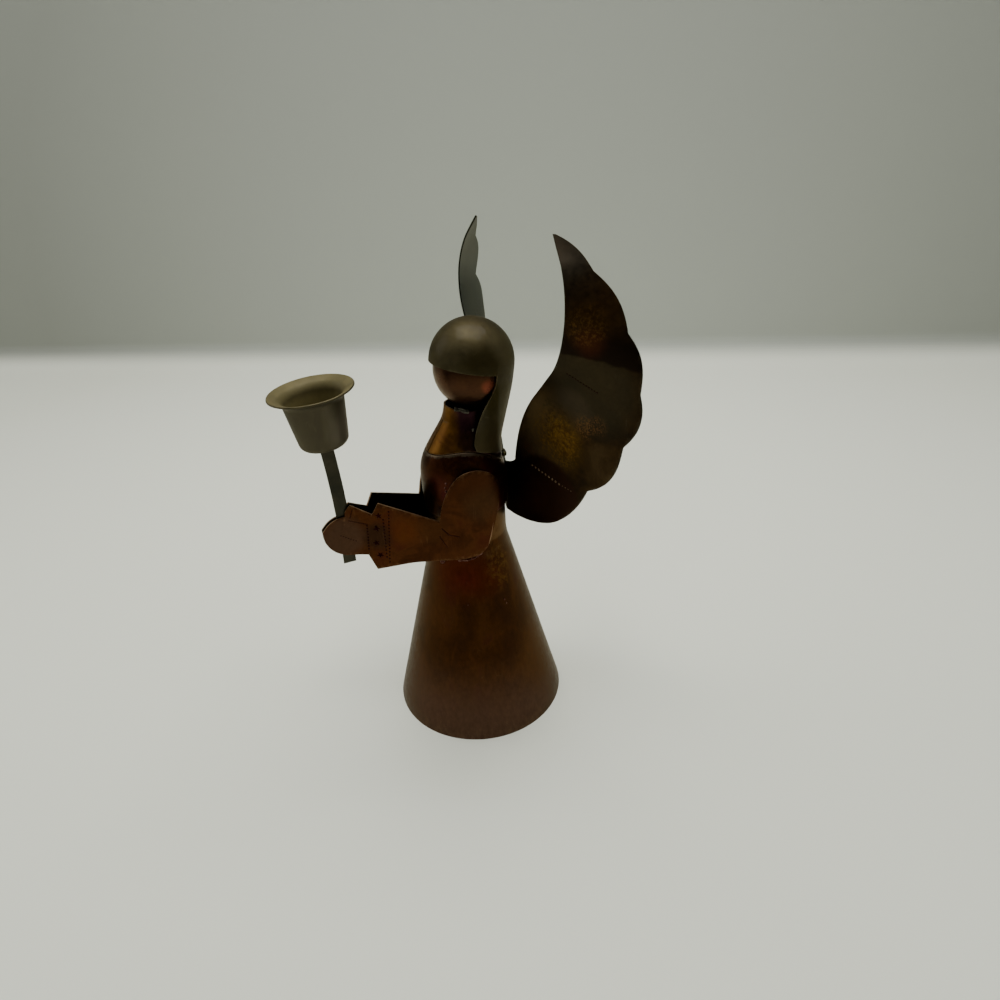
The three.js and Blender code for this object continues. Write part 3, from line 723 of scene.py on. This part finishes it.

# %% [markdown]
# ## The sleeves
# The sleeves are the colour of the first oxide, an even golden brown, pinker at the hand, where
# the flame didn't reach. The inner side, toward the chest, is painted nearly black as shade, over
# a little oxide. Both sleeves share one material.

# %% Sleeve copper
# Lightly heated copper under lacquer: golden brown, pink-beige at the hand, darker in the elbow,
# and pink-grey on the shoulder's right side as a painted reflection.
sleeve_copper = heated_metal(
    "golden_brown_sleeve_copper_and_painted_reflection",
    ["#301704", "#371b06", "#42230b", "#3e1c0a"],
    cloud=14, both_sides=True,
    zones=spots(
        "arm_left",
        ((343, 538), (13, 6), "#432f22", 0.85),
        ((378, 536), (9, 4), "#26180d", 0.7),
        ((405, 532), (10, 2), "#52290a", 0.5),
        ((476, 484), (11, 4), "#3a1e09", 0.7),
        # Painted reflection: pink-grey on the shoulder's right side, where the lobe curves round the
        # chest.
        ((482, 505), (12, 4), "#3a2614", 0.6),
        ((432, 530), (9, 4), "#3e230b", 0.6),
    ),
    wear="#7a5a3c", rubbed_rim=0.3
)
# Painted shade where the inner side faces the chest, over a little oxide: nearly black, a little
# green, and matt.
CHEST_SIDE_SHADE = ["#0b0e09", "#10130d", "#16140e"]
sleeve_inside = heated_metal(
    "painted_shade_sleeve_inside", CHEST_SIDE_SHADE, cloud=9, both_sides=True, roughness=0.5, lacquer=0.02
)

# %% [markdown]
# ## The head
# The ball of the face is clean copper, a pale pink-orange. The hair is brass that has dulled to
# beige-olive: its own shine is blurred, and only the thin lacquer over it gives the small squarish
# reflection of the lamp.

# %% Metals of the head
# Clean polished copper: pink-orange, smooth, and paler toward its outline, with a painted pink glint
# on its right side by the hair.
face_copper = heated_metal(
    "bright_ball_copper_and_painted_glint",
    ["#372114", "#3d2616", "#442b1b"],
    zones=spots("head", ((488, 387), (4, 1.2), "#7c3e2c", 0.6)),
    roughness=0.33, dent=0.08, wear="#9a7a60", spotted=0.14, edge_on="#eae3d8"
)
# Dulled brass under lacquer: beige-olive and matt, a little yellower above the brim.
hair_brass = heated_metal(
    "dulled_hair_brass",
    ["#3c3524", "#443d29", "#4b442f"],
    cloud=16,
    zones=[
        *spots(
            "hair",
            ((484, 366), (12, 4), "#30280f", 0.7),
            ((497, 400), (10, 4), "#3a331b", 0.9),
            ((505, 345), (10, 3), "#564e36", 0.8),
        ),
        band(UPWARD, (156, 140), "#5a4f34", 0.7),
    ],
    roughness=0.6, dent=0.1, lacquer=0.085, lacquer_blur=0.17, wear="#6a6248", spotted=0.14
)

# %% [markdown]
# ## The candle cup and its stem
# The cup is spun brass. Heat and wax dulled it: grey-beige outside, tan inside, and yellower on the
# lip, with a clear line of painted shade where the lip turns down into the throat.

# %% Metals of the cup
# Dulled spun brass: even grey-beige in faint upright bands, which are painted reflections.
cup_brass = heated_metal(
    "dulled_cup_brass_and_painted_reflections",
    ["#474134", "#4e4838", "#554e40"],
    cloud=14, stretch=5,
    zones=spots("candle_cup", ((346, 425), (13, 4), "#6c6456", 0.8)),
    roughness=0.58, dent=0.1, wear="#8a8060", spotted=0.12
)
CUP_AXIS = (0, -0.0809, 0.9967)
# The same brass, warmed by candles: tan and matt, cream-yellow on the lip, and darkest where it
# bends, which is painted shade. Below that it is paler again.
cup_inside = heated_metal(
    "yellowed_cup_inside_and_painted_shade",
    ["#5c5434", "#645b3a", "#6c6340"],
    cloud=9,
    zones=[
        # Painted shade: a darker ring where the lip bends into the throat; paler deeper in.
        band(CUP_AXIS, (176.9, 176.1), "#5c5434"),
        band(CUP_AXIS, (174.5, 170), "#746a42"),
    ],
    roughness=0.66, metallic=0.5, dent=0.1, spotted=0.12, border=0.2
)

# %% Metals of the stem and of the cup's rim
NARROW_EDGE = {"rubbed_rim": 0.0, "dent": 0.0, "cloud": 8, "roughness": 0.45}
# Flat brass strip, dulled to grey-beige and hardly worn.
STEM_GREYS = ["#2e2d25", "#353329", "#3c382d"]
stem_brass = heated_metal(
    "dulled_stem_brass", STEM_GREYS, cloud=12, roughness=0.5, dent=0.1, rubbed_rim=0.0
)
# Brass rubbed by hands on the lip's edge: a little paler than the wall.
rubbed_brass = heated_metal("rubbed_brass_rim", ["#4e4836", "#5c553f", "#686048"], **NARROW_EDGE)

# %% [markdown]
# ## Solder, cut edges and stamped marks
# Solder is grey and bright where it is clean, and stained by flux and heat in the corners. Filed
# edges show the bare metal, and only the wings' edges were heated with the sheet. A stamped mark
# collects dark oxide, and where it stands proud it is pale, partly rubbed and partly a painted
# highlight.

# %% Metals of the solder
# Clean soft solder: grey and uneven, with small bright places.
GREYS = ["#36332a", "#5a564c", "#7a766a"]
solder_grey = heated_metal(
    "soft_solder", GREYS, cloud=2.4, roughness=0.36, dent=0.3, lacquer=0.02
)
# Solder under yellow flux: olive and duller.
FLUX_YELLOWS = ["#26220f", "#3a341c", "#4e472c"]
yellow_solder = heated_metal("flux_yellowed_solder", FLUX_YELLOWS, cloud=2.4, roughness=0.42)
# Solder with copper and flux in it: pink-grey with dark red blobs. The pale pink is partly a
# painted highlight along the run.
COPPER_PINKS = ["#2c100c", "#54302a", "#86665a"]
pink_solder = heated_metal("copper_stained_solder_and_painted_highlight", COPPER_PINKS, cloud=1.6, roughness=0.4)

# %% Metals of the cut edges
FILED = {"cloud": 8, "roughness": 0.4, "dent": 0.0, "spotted": 0.2}
# Filed copper: pale pink-beige.
cut_copper = heated_metal("filed_copper_edge", ["#7a5a44", "#8a6a50", "#97785c"], **FILED)
# Filed brass: pale yellow-beige.
cut_brass = heated_metal("filed_brass_edge", ["#6e664c", "#7c7458", "#8a8268"], **FILED)
# Cut copper that was heated with the wing: dark grey-green.
heated_edge = heated_metal("heated_copper_edge", ["#16170f", "#1e1f15", "#28271b"], **NARROW_EDGE)

# %% Metals of the stamped marks
# Oxide in a stamped mark: dark purple-brown and matt.
PURPLES = ["#1a0506", "#260a0c"]
stamped_dark = heated_metal("purple_stamped_mark", PURPLES, cloud=4, roughness=0.5, lacquer=0.0)
# A raised stamped pip, pale pink-beige: partly rubbed metal, partly a painted highlight. pale
# pink-beige.
BEIGES = ["#6c5a46", "#7e6a56"]
stamped_bright = heated_metal("rubbed_stamped_mark_and_painted_highlight", BEIGES, cloud=4, roughness=0.34)
print("all metals coloured:", len(bpy.data.materials))

# %% [markdown]
# ## Smooth sheets
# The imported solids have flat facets, and bright metal would show every one. A copy of a solid is
# merged into one skin and its triangles are paired to four-sided faces. The rim of the sheet is
# creased so that it stays where it is, Subdivision Surface rounds the rest, and a narrow Bevel
# gives the cut edge the thin bright line that filed sheet metal has. The notches between two
# feathers turn inwards only a little, so an inward fold is creased at a smaller angle.

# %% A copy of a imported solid
MERGE_REACH = 0.002 * MM
PAIR_FOLD = math.radians(25)
PAIR_SKEW = math.radians(60)


def solid_copy(node):
    """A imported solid's skin without double vertices, its triangles paired to four-sided faces."""
    shape = bmesh.new()
    shape.from_mesh(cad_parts[node].data)
    bmesh.ops.remove_doubles(shape, verts=shape.verts, dist=MERGE_REACH)
    bmesh.ops.join_triangles(
        shape, faces=shape.faces, angle_face_threshold=PAIR_FOLD, angle_shape_threshold=PAIR_SKEW
    )
    return shape


print("vertices within", MERGE_REACH / MM, "mm are merged")

# %% Creased rims and cut edges
RIM_ANGLE = math.radians(28)
NOTCH_ANGLE = math.radians(-12)
EDGE_WIDTH = 0.95 * MM


def crease_rims(shape):
    """Creases the sheet's rim and notches, and marks the vertices on them for the worn rim."""
    crease = shape.edges.layers.float.new("crease_edge")
    near_rim = shape.verts.layers.float.new("near_rim")
    for edge in shape.edges:
        if not edge.is_manifold:
            continue
        if edge.calc_face_angle() > RIM_ANGLE or edge.calc_face_angle_signed() < NOTCH_ANGLE:
            edge[crease] = 1.0
            for vert in edge.verts:
                vert[near_rim] = 1.0
    return near_rim


def is_cut_edge(face, near_rim):
    """A face is part of the cut edge if it lies on the rim and is as narrow as the sheet."""
    longest = max(edge.calc_length() for edge in face.edges)
    on_rim = all(vert[near_rim] > 0 for vert in face.verts)
    return on_rim and face.calc_area() / longest < EDGE_WIDTH


print("a rim folds by more than", round(math.degrees(RIM_ANGLE)), "degrees")

# %% Rounded and filed
ROUNDING_LEVELS = 2
EDGE_ROUND = 0.14 * MM
FILED_ANGLE = math.radians(40)


def file_edges(piece, width, segments):
    """A narrow bevel along every edge that folds sharply."""
    edges = piece.modifiers.new("filed_edges", "BEVEL")
    edges.width = width
    edges.segments = segments
    edges.limit_method = "ANGLE"
    edges.angle_limit = FILED_ANGLE


def round_and_file(sheet):
    """Smooth curves between the creased rims, and rounded cut edges."""
    rounding = sheet.modifiers.new("rounding", "SUBSURF")
    rounding.levels = ROUNDING_LEVELS
    rounding.render_levels = ROUNDING_LEVELS
    file_edges(sheet, EDGE_ROUND, 2)


print("cut edges are rounded by", EDGE_ROUND / MM, "mm")

# %% A smooth sheet
# The places of a sheet's metals in its list of materials.
OUTSIDE, CUT_EDGE, INSIDE = 0, 1, 2


def smooth_sheet(node, materials, facing_in=None):
    """The sheet has its outer metal, its cut edge and, where facing_in says so, its inner side."""
    shape = solid_copy(node)
    near_rim = crease_rims(shape)
    for face in shape.faces:
        face.smooth = True
        if is_cut_edge(face, near_rim):
            face.material_index = CUT_EDGE
        elif facing_in and facing_in(face):
            face.material_index = INSIDE
    print(node, len(shape.faces), "faces before rounding")
    sheet = finished(node + "_sheet", shape, materials)
    round_and_file(sheet)
    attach(sheet, "root")
    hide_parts(node)
    return sheet


print("a sheet has up to", INSIDE + 1, "metals")

# %% The skirt, bodice, collar, hair, wings and stem
SHEETS = {
    "skirt": ((skirt_copper, cut_copper), "skirt_copper"),
    "bodice": ((bodice_copper, cut_copper), "golden_copper"),
    "collar": ((collar_copper, cut_copper), "golden_copper"),
    "hair": ((hair_brass, cut_brass), "cup_brass"),
    "wing_left": ((wing_metals["wing_left"], heated_edge), "wing_copper"),
    "wing_right": ((wing_metals["wing_right"], heated_edge), "wing_copper"),
    "stem": ((stem_brass, cut_brass), "cup_brass"),
}
sheets = {}
for node, (metals, slot) in SHEETS.items():
    sheets[node] = smooth_sheet(node, metals)


# %% The arms, painted dark as shade on the side toward the chest
def toward_the_middle(face):
    return face.normal.x * face.calc_center_median().x < 0


for node in ("arm_left", "arm_right"):
    sheets[node] = smooth_sheet(node, (sleeve_copper, cut_copper, sleeve_inside), toward_the_middle)

# %% [markdown]
# ## The bodice's foot
# Hands rub the neckline, which stands free, but not the foot of the bodice. Both are rims, so the
# foot is taken out of the rubbed rim and given the sheet's own colour.

# %% The bodice's foot
bodice_mesh = sheets["bodice"].data
bodice_low, bodice_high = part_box("bodice")
bodice_middle = (bodice_low.z + bodice_high.z) / 2
rubbed = bodice_mesh.attributes["near_rim"]
for vert in bodice_mesh.vertices:
    if vert.co.z < bodice_middle:
        rubbed.data[vert.index].value = 0
for face in bodice_mesh.polygons:
    if face.center.z < bodice_middle:
        face.material_index = OUTSIDE
print("bodice rubbed above", round(bodice_middle / MM, 1), "mm only")

# %% [markdown]
# ## Spun pieces
# The ball and the cup are spun from a flat disc over a former, so both are made by spinning an
# outline. A spun mesh may come out inside out, so its faces are turned outwards before Solidify
# gives the sheet its thickness inwards.

# %% Spinning an outline
TURNS = 72


def spun_shell(shape):
    """Spins the outline's edges about +Z, closes the seam and turns the faces outwards."""
    bmesh.ops.spin(
        shape, geom=shape.verts[:] + shape.edges[:], cent=(0, 0, 0), axis=UPWARD,
        angle=2 * math.pi, steps=TURNS, use_merge=True
    )
    bmesh.ops.remove_doubles(shape, verts=shape.verts, dist=MERGE_REACH)
    bmesh.ops.recalc_face_normals(shape, faces=shape.faces)
    if shape.faces[0].normal.dot(shape.faces[0].calc_center_median()) < 0:
        bmesh.ops.reverse_faces(shape, faces=shape.faces)
    for face in shape.faces:
        face.smooth = True


print("outlines are spun in", TURNS, "steps")

# %% A spun piece of sheet
SHEET = 0.8 * MM


def spun(shape, name, materials, place):
    """The spun outline, moved to its place, with its sheet thickness and rounded edges."""
    spun_shell(shape)
    bmesh.ops.transform(shape, matrix=place, verts=shape.verts)
    piece = finished(name, shape, materials)
    wall = piece.modifiers.new("sheet_thickness", "SOLIDIFY")
    wall.thickness = SHEET
    wall.offset = -1
    wall.use_even_offset = True
    file_edges(piece, 2 * EDGE_ROUND, 3)
    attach(piece, "root")
    return piece


print("spun pieces are", SHEET / MM, "mm thick")

# %% [markdown]
# ## The ball of the face
# The face is a plain hollow ball with a hole underneath. An arc from its top to that hole is its
# outline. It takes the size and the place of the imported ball, so it rests in the collar.

# %% The ball of the face
BALL_HOLE = 4 * MM
BALL_STEPS = 30
ball_low, ball_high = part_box("head")
ball_radius = (ball_high.x - ball_low.x) / 2
ball_centre = Vector((0, (ball_low.y + ball_high.y) / 2, ball_high.z - ball_radius))
ball_arc = math.pi - math.asin(BALL_HOLE / ball_radius)

ball = bmesh.new()
top = ball.verts.new((0, 0, ball_radius))
bmesh.ops.spin(
    ball, geom=[top], cent=(0, 0, 0), axis=(0, 1, 0), angle=ball_arc, steps=BALL_STEPS
)
face_ball = spun(ball, "face_ball", [face_copper], Matrix.Translation(ball_centre))
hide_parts("head")
print("face ball radius", round(ball_radius / MM, 2), "mm, height", round(ball_centre.z / MM, 1))

# %% [markdown]
# ## The candle cup
# The cup has a small flat floor, a wall that opens slightly and a flared lip: three straight lines
# with rounded corners. The inner side and the lip's edge are other metals, which Solidify takes
# from the list of materials.

# %% The candle cup
CUP_TILT = math.radians(4.64)
CUP_RIM_CENTRE = Vector((0, -43.455, 175.25)) * MM
# Radius and height of each corner in mm, from the lip down to the floor's middle.
CUP_OUTLINE = ((17.5, -0.75), (12.6, -2.8), (9.85, -24.3), (0, -24.3))
THROAT_ROUND, FLOOR_ROUND = 2.1 * MM, 2.9 * MM
CORNER_STEPS = 7
INSIDE_OF_CUP, RIM_OF_CUP = 1, 2

cup, corners = outline((radius * MM, 0, height * MM) for radius, height in CUP_OUTLINE)
round_corner(cup, corners[1], THROAT_ROUND, CORNER_STEPS)
round_corner(cup, corners[2], FLOOR_ROUND, CORNER_STEPS)
cup_place = Matrix.Translation(CUP_RIM_CENTRE) @ Matrix.Rotation(CUP_TILT, 4, "X")
cup_sheet = spun(cup, "candle_cup_sheet", [cup_brass, cup_inside, rubbed_brass], cup_place)
cup_wall = cup_sheet.modifiers["sheet_thickness"]
cup_wall.material_offset = INSIDE_OF_CUP
cup_wall.material_offset_rim = RIM_OF_CUP
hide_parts("candle_cup")
print("candle cup", len(cup_sheet.data.polygons), "faces before its wall")

# %% [markdown]
# ## Marks punched into the sheet
# The maker punched rows of dots along the cuff and in the wing, and small stars between them. Each
# mark is a small form of its own, set on the smooth sheet where the photograph shows it. The other
# side of the figure gets the same marks, mirrored.

# %% Setting marks on a sheet
scene_state = bpy.context.evaluated_depsgraph_get()
smooth_trees = {
    name: BVHTree.FromObject(sheets[name], scene_state) for name in ("arm_left", "wing_left")
}


def on_sheet(name, pixel):
    """A matrix whose origin lies on the smooth sheet where a pixel shows it, with +Z outwards."""
    place, normal = first_hit(smooth_trees[name], pixel)
    if normal.dot(ahead) > 0:
        normal = -normal
    return Matrix.Translation(place) @ normal.to_track_quat("Z", "Y").to_matrix().to_4x4()


def dotted(start, end, count):
    """Pixels spaced evenly from start to end."""
    return [
        tuple(a + (b - a) * k / (count - 1) for a, b in zip(start, end)) for k in range(count)
    ]


print("a cuff mark sits at", on_sheet("arm_left", (378.5, 516)).translation)

# %% A dot
DOT_SIDES, DOT_RINGS = 10, 6


def punch_dot(shape, place, radius, height, metal):
    """A low round pip: half of a flattened ball stands out of the sheet."""
    flat = place @ Matrix.Diagonal((1, 1, height / radius, 1))
    made = bmesh.ops.create_uvsphere(
        shape, u_segments=DOT_SIDES, v_segments=DOT_RINGS, radius=radius * MM, matrix=flat
    )
    for vert in made["verts"]:
        for face in vert.link_faces:
            face.material_index = metal
            face.smooth = True


def punch_rows(shape, name, rows, **dot):
    """Rows of dots. Each has its two end pixels and its number of dots."""
    for start, end, count in rows:
        for pixel in dotted(start, end, count):
            punch_dot(shape, on_sheet(name, pixel), **dot)


print("a dot has", DOT_SIDES * DOT_RINGS, "faces")

# %% A star
STAR_POINTS = 5
STAR_WAIST = 0.42
STAR_TAPER = 0.8


def punch_star(shape, place, radius, height, metal, turn):
    """Every second corner of a disc is drawn in, and the disc is thickened."""
    disc = bmesh.ops.create_circle(
        shape, cap_ends=True, segments=2 * STAR_POINTS, radius=radius * MM
    )
    for vert in disc["verts"][::2]:
        vert.co *= STAR_WAIST
    faces = list({face for vert in disc["verts"] for face in vert.link_faces})
    raised = bmesh.ops.extrude_face_region(shape, geom=faces)["geom"]
    upper = [part for part in raised if isinstance(part, bmesh.types.BMVert)]
    bmesh.ops.scale(shape, vec=(STAR_TAPER, STAR_TAPER, 1), verts=upper)
    bmesh.ops.translate(shape, vec=(0, 0, height * MM), verts=upper)
    every = disc["verts"] + upper
    bmesh.ops.transform(shape, matrix=place @ Matrix.Rotation(turn, 4, "Z"), verts=every)
    star = list({face for vert in every for face in vert.link_faces})
    bmesh.ops.recalc_face_normals(shape, faces=star)
    for face in star:
        face.material_index = metal


print("a star has", STAR_POINTS, "points")


# %% The marks of one side
def marks_piece(name, shape, side):
    """For the figure's right side the marks are mirrored."""
    if side < 0:
        bmesh.ops.scale(shape, vec=(-1, 1, 1), verts=shape.verts)
        bmesh.ops.reverse_faces(shape, faces=shape.faces)
    piece = finished(name, shape, (stamped_dark, stamped_bright))
    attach(piece, "root")
    print(name, len(piece.data.polygons), "faces")


# %% Dots, stars and lines of the cuffs
DARK, BRIGHT = 0, 1
CUFF_DOT = {"radius": 0.42, "height": 0.16, "metal": DARK}
CUFF_STAR = {"radius": 1.75, "height": 0.18, "metal": DARK}
LINE_DOT = {"radius": 0.3, "height": 0.07, "metal": DARK}
STAR_TURN = 0.4
CUFF_ROWS = [
    ((367, 526), (369, 549), 9),
    ((383, 520), (387, 557), 12),
    ((388.5, 512), (390, 562), 16),
]
CUFF_STARS = [(378.5, 516), (376.5, 529), (376.5, 543), (380.5, 555)]
HAND_AND_ELBOW_LINES = [
    ((352, 510), (350, 518), 6),
    ((349, 521), (367, 524.5), 11),
    ((341, 536), (356, 541), 7),
    ((442, 529), (449, 535), 8),
    ((449, 535), (459, 537), 8),
    ((440, 537), (447, 547), 9),
]


def cuff_marks(side, side_name):
    cuff = bmesh.new()
    punch_rows(cuff, "arm_left", CUFF_ROWS, **CUFF_DOT)
    for k, pixel in enumerate(CUFF_STARS):
        punch_star(cuff, on_sheet("arm_left", pixel), turn=k * STAR_TURN, **CUFF_STAR)
    punch_rows(cuff, "arm_left", HAND_AND_ELBOW_LINES, **LINE_DOT)
    marks_piece(f"cuff_marks_{side_name}", cuff, side)


print("a cuff has", len(CUFF_STARS), "stars")

# %% Dots of the wings
DARK_DOT = {"radius": 0.38, "height": 0.1, "metal": DARK}
# The raised dots in the wing are pale partly as a painted highlight.
BRIGHT_DOT = {"radius": 0.6, "height": 0.25, "metal": BRIGHT}
SMALL_BRIGHT_DOT = {**BRIGHT_DOT, "radius": 0.3}


def wing_marks(side, side_name):
    feather = bmesh.new()
    punch_rows(feather, "wing_left", [((567, 374), (597, 393), 12)], **DARK_DOT)
    punch_rows(feather, "wing_left", [((532, 465), (559, 484), 9)], **BRIGHT_DOT)
    punch_rows(feather, "wing_left", [((562.5, 486), (571, 491), 4)], **SMALL_BRIGHT_DOT)
    marks_piece(f"wing_marks_{side_name}", feather, side)


for side, side_name in ((1, "left"), (-1, "right")):
    cuff_marks(side, side_name)
    wing_marks(side, side_name)

# %% [markdown]
# ## Solder
# Soft solder is fed into a corner with a hot iron and sets as an uneven, bright run with lumps
# where the iron stopped. Each packed bead is a plain round rod, so a copy of it is divided finely
# and its skin is moved out and in by noise. Balls of the same metal make the lumps.

# %% Lumpy skin and drops
LUMP_SIZE = 1.7
DROP_LENGTH = 1.15


def uneven(shape, reach):
    """Moves the skin out and in by noise, by up to reach mm."""
    shape.normal_update()
    moves = [
        (vert, vert.normal * noise.noise(vert.co / (LUMP_SIZE * MM)) * reach * MM)
        for vert in shape.verts
    ]
    for vert, move in moves:
        vert.co += move


def drop(shape, centre, radius):
    place = Matrix.Translation(centre) @ Matrix.Diagonal((1, 1, DROP_LENGTH, 1))
    bmesh.ops.create_icosphere(shape, subdivisions=3, radius=radius * MM, matrix=place)


print("lumps of about", LUMP_SIZE, "mm")

# %% Where the photograph shows a drop
# Each drop has its pixel and its radius in mm.
NAPE_DROPS = [((496, 456), 0.7), ((500, 460), 0.5)]
ARMPIT_DROPS = [
    ((446, 484), 0.55), ((445, 488), 0.45), ((446, 491.5), 0.5), ((446.5, 496), 0.6),
    ((447, 500), 0.4)
]
ELBOW_DROPS = [
    ((443, 561), 1.2), ((447, 559), 0.7), ((504.5, 599), 0.45), ((506.5, 603), 0.35),
    ((468, 605), 0.3)
]
drops = {
    node: [(metal_at(carrier, pixel), radius) for pixel, radius in seen]
    for node, carrier, seen in (
        ("solder_hair", "bodice", NAPE_DROPS),
        ("solder_shoulder_left", "bodice", ARMPIT_DROPS),
        ("solder_elbow_left", "skirt", ELBOW_DROPS),
    )
}
print("drops placed:", sum(len(placed) for placed in drops.values()))

# %% A low run of solder at the chin, between the collar's edge and the ball
CHIN_RUN = ((455, 410.5), (468, 413), 9)
CHIN_DROP = 0.55
CHIN_SHARES = (0.1, 0.35)
chin = []
for pixel in dotted(*CHIN_RUN):
    on_collar = metal_at("collar", pixel)
    on_ball = ball_centre + (on_collar - ball_centre).normalized() * ball_radius
    chin += [(on_collar.lerp(on_ball, share), CHIN_DROP) for share in CHIN_SHARES]
drops["solder_collar_left"] = chin
print("gap between ball and collar", round((on_collar - on_ball).length / MM, 2), "mm")

# %% The runs of solder
STAINED = {
    "solder_elbow": pink_solder,
    "solder_shoulder": pink_solder,
    "solder_hair": yellow_solder,
}
SEAM = "solder_skirt_seam"
RUN_CUTS = 3
# How far noise moves the skin in mm, and how much the cuts bulge.
THIN_RUN = {"reach": 0.08, "bulge": 0.0}
THICK_RUN = {"reach": 0.3, "bulge": 0.6}
for node in sorted(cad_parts):
    if not node.startswith("solder"):
        continue
    skin = THIN_RUN if node == SEAM else THICK_RUN
    run = solid_copy(node)
    bmesh.ops.subdivide_edges(
        run, edges=run.edges[:], cuts=RUN_CUTS, use_grid_fill=True, smooth=skin["bulge"]
    )
    for centre, radius in drops.get(node, []):
        drop(run, centre, radius)
    uneven(run, skin["reach"])
    for face in run.faces:
        face.smooth = True
    metal = next((made for start, made in STAINED.items() if node.startswith(start)), solder_grey)
    run_piece = finished(node + "_run", run, [metal])
    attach(run_piece, "root")
    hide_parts(node)
    print(run_piece.name, len(run_piece.data.polygons), "faces")
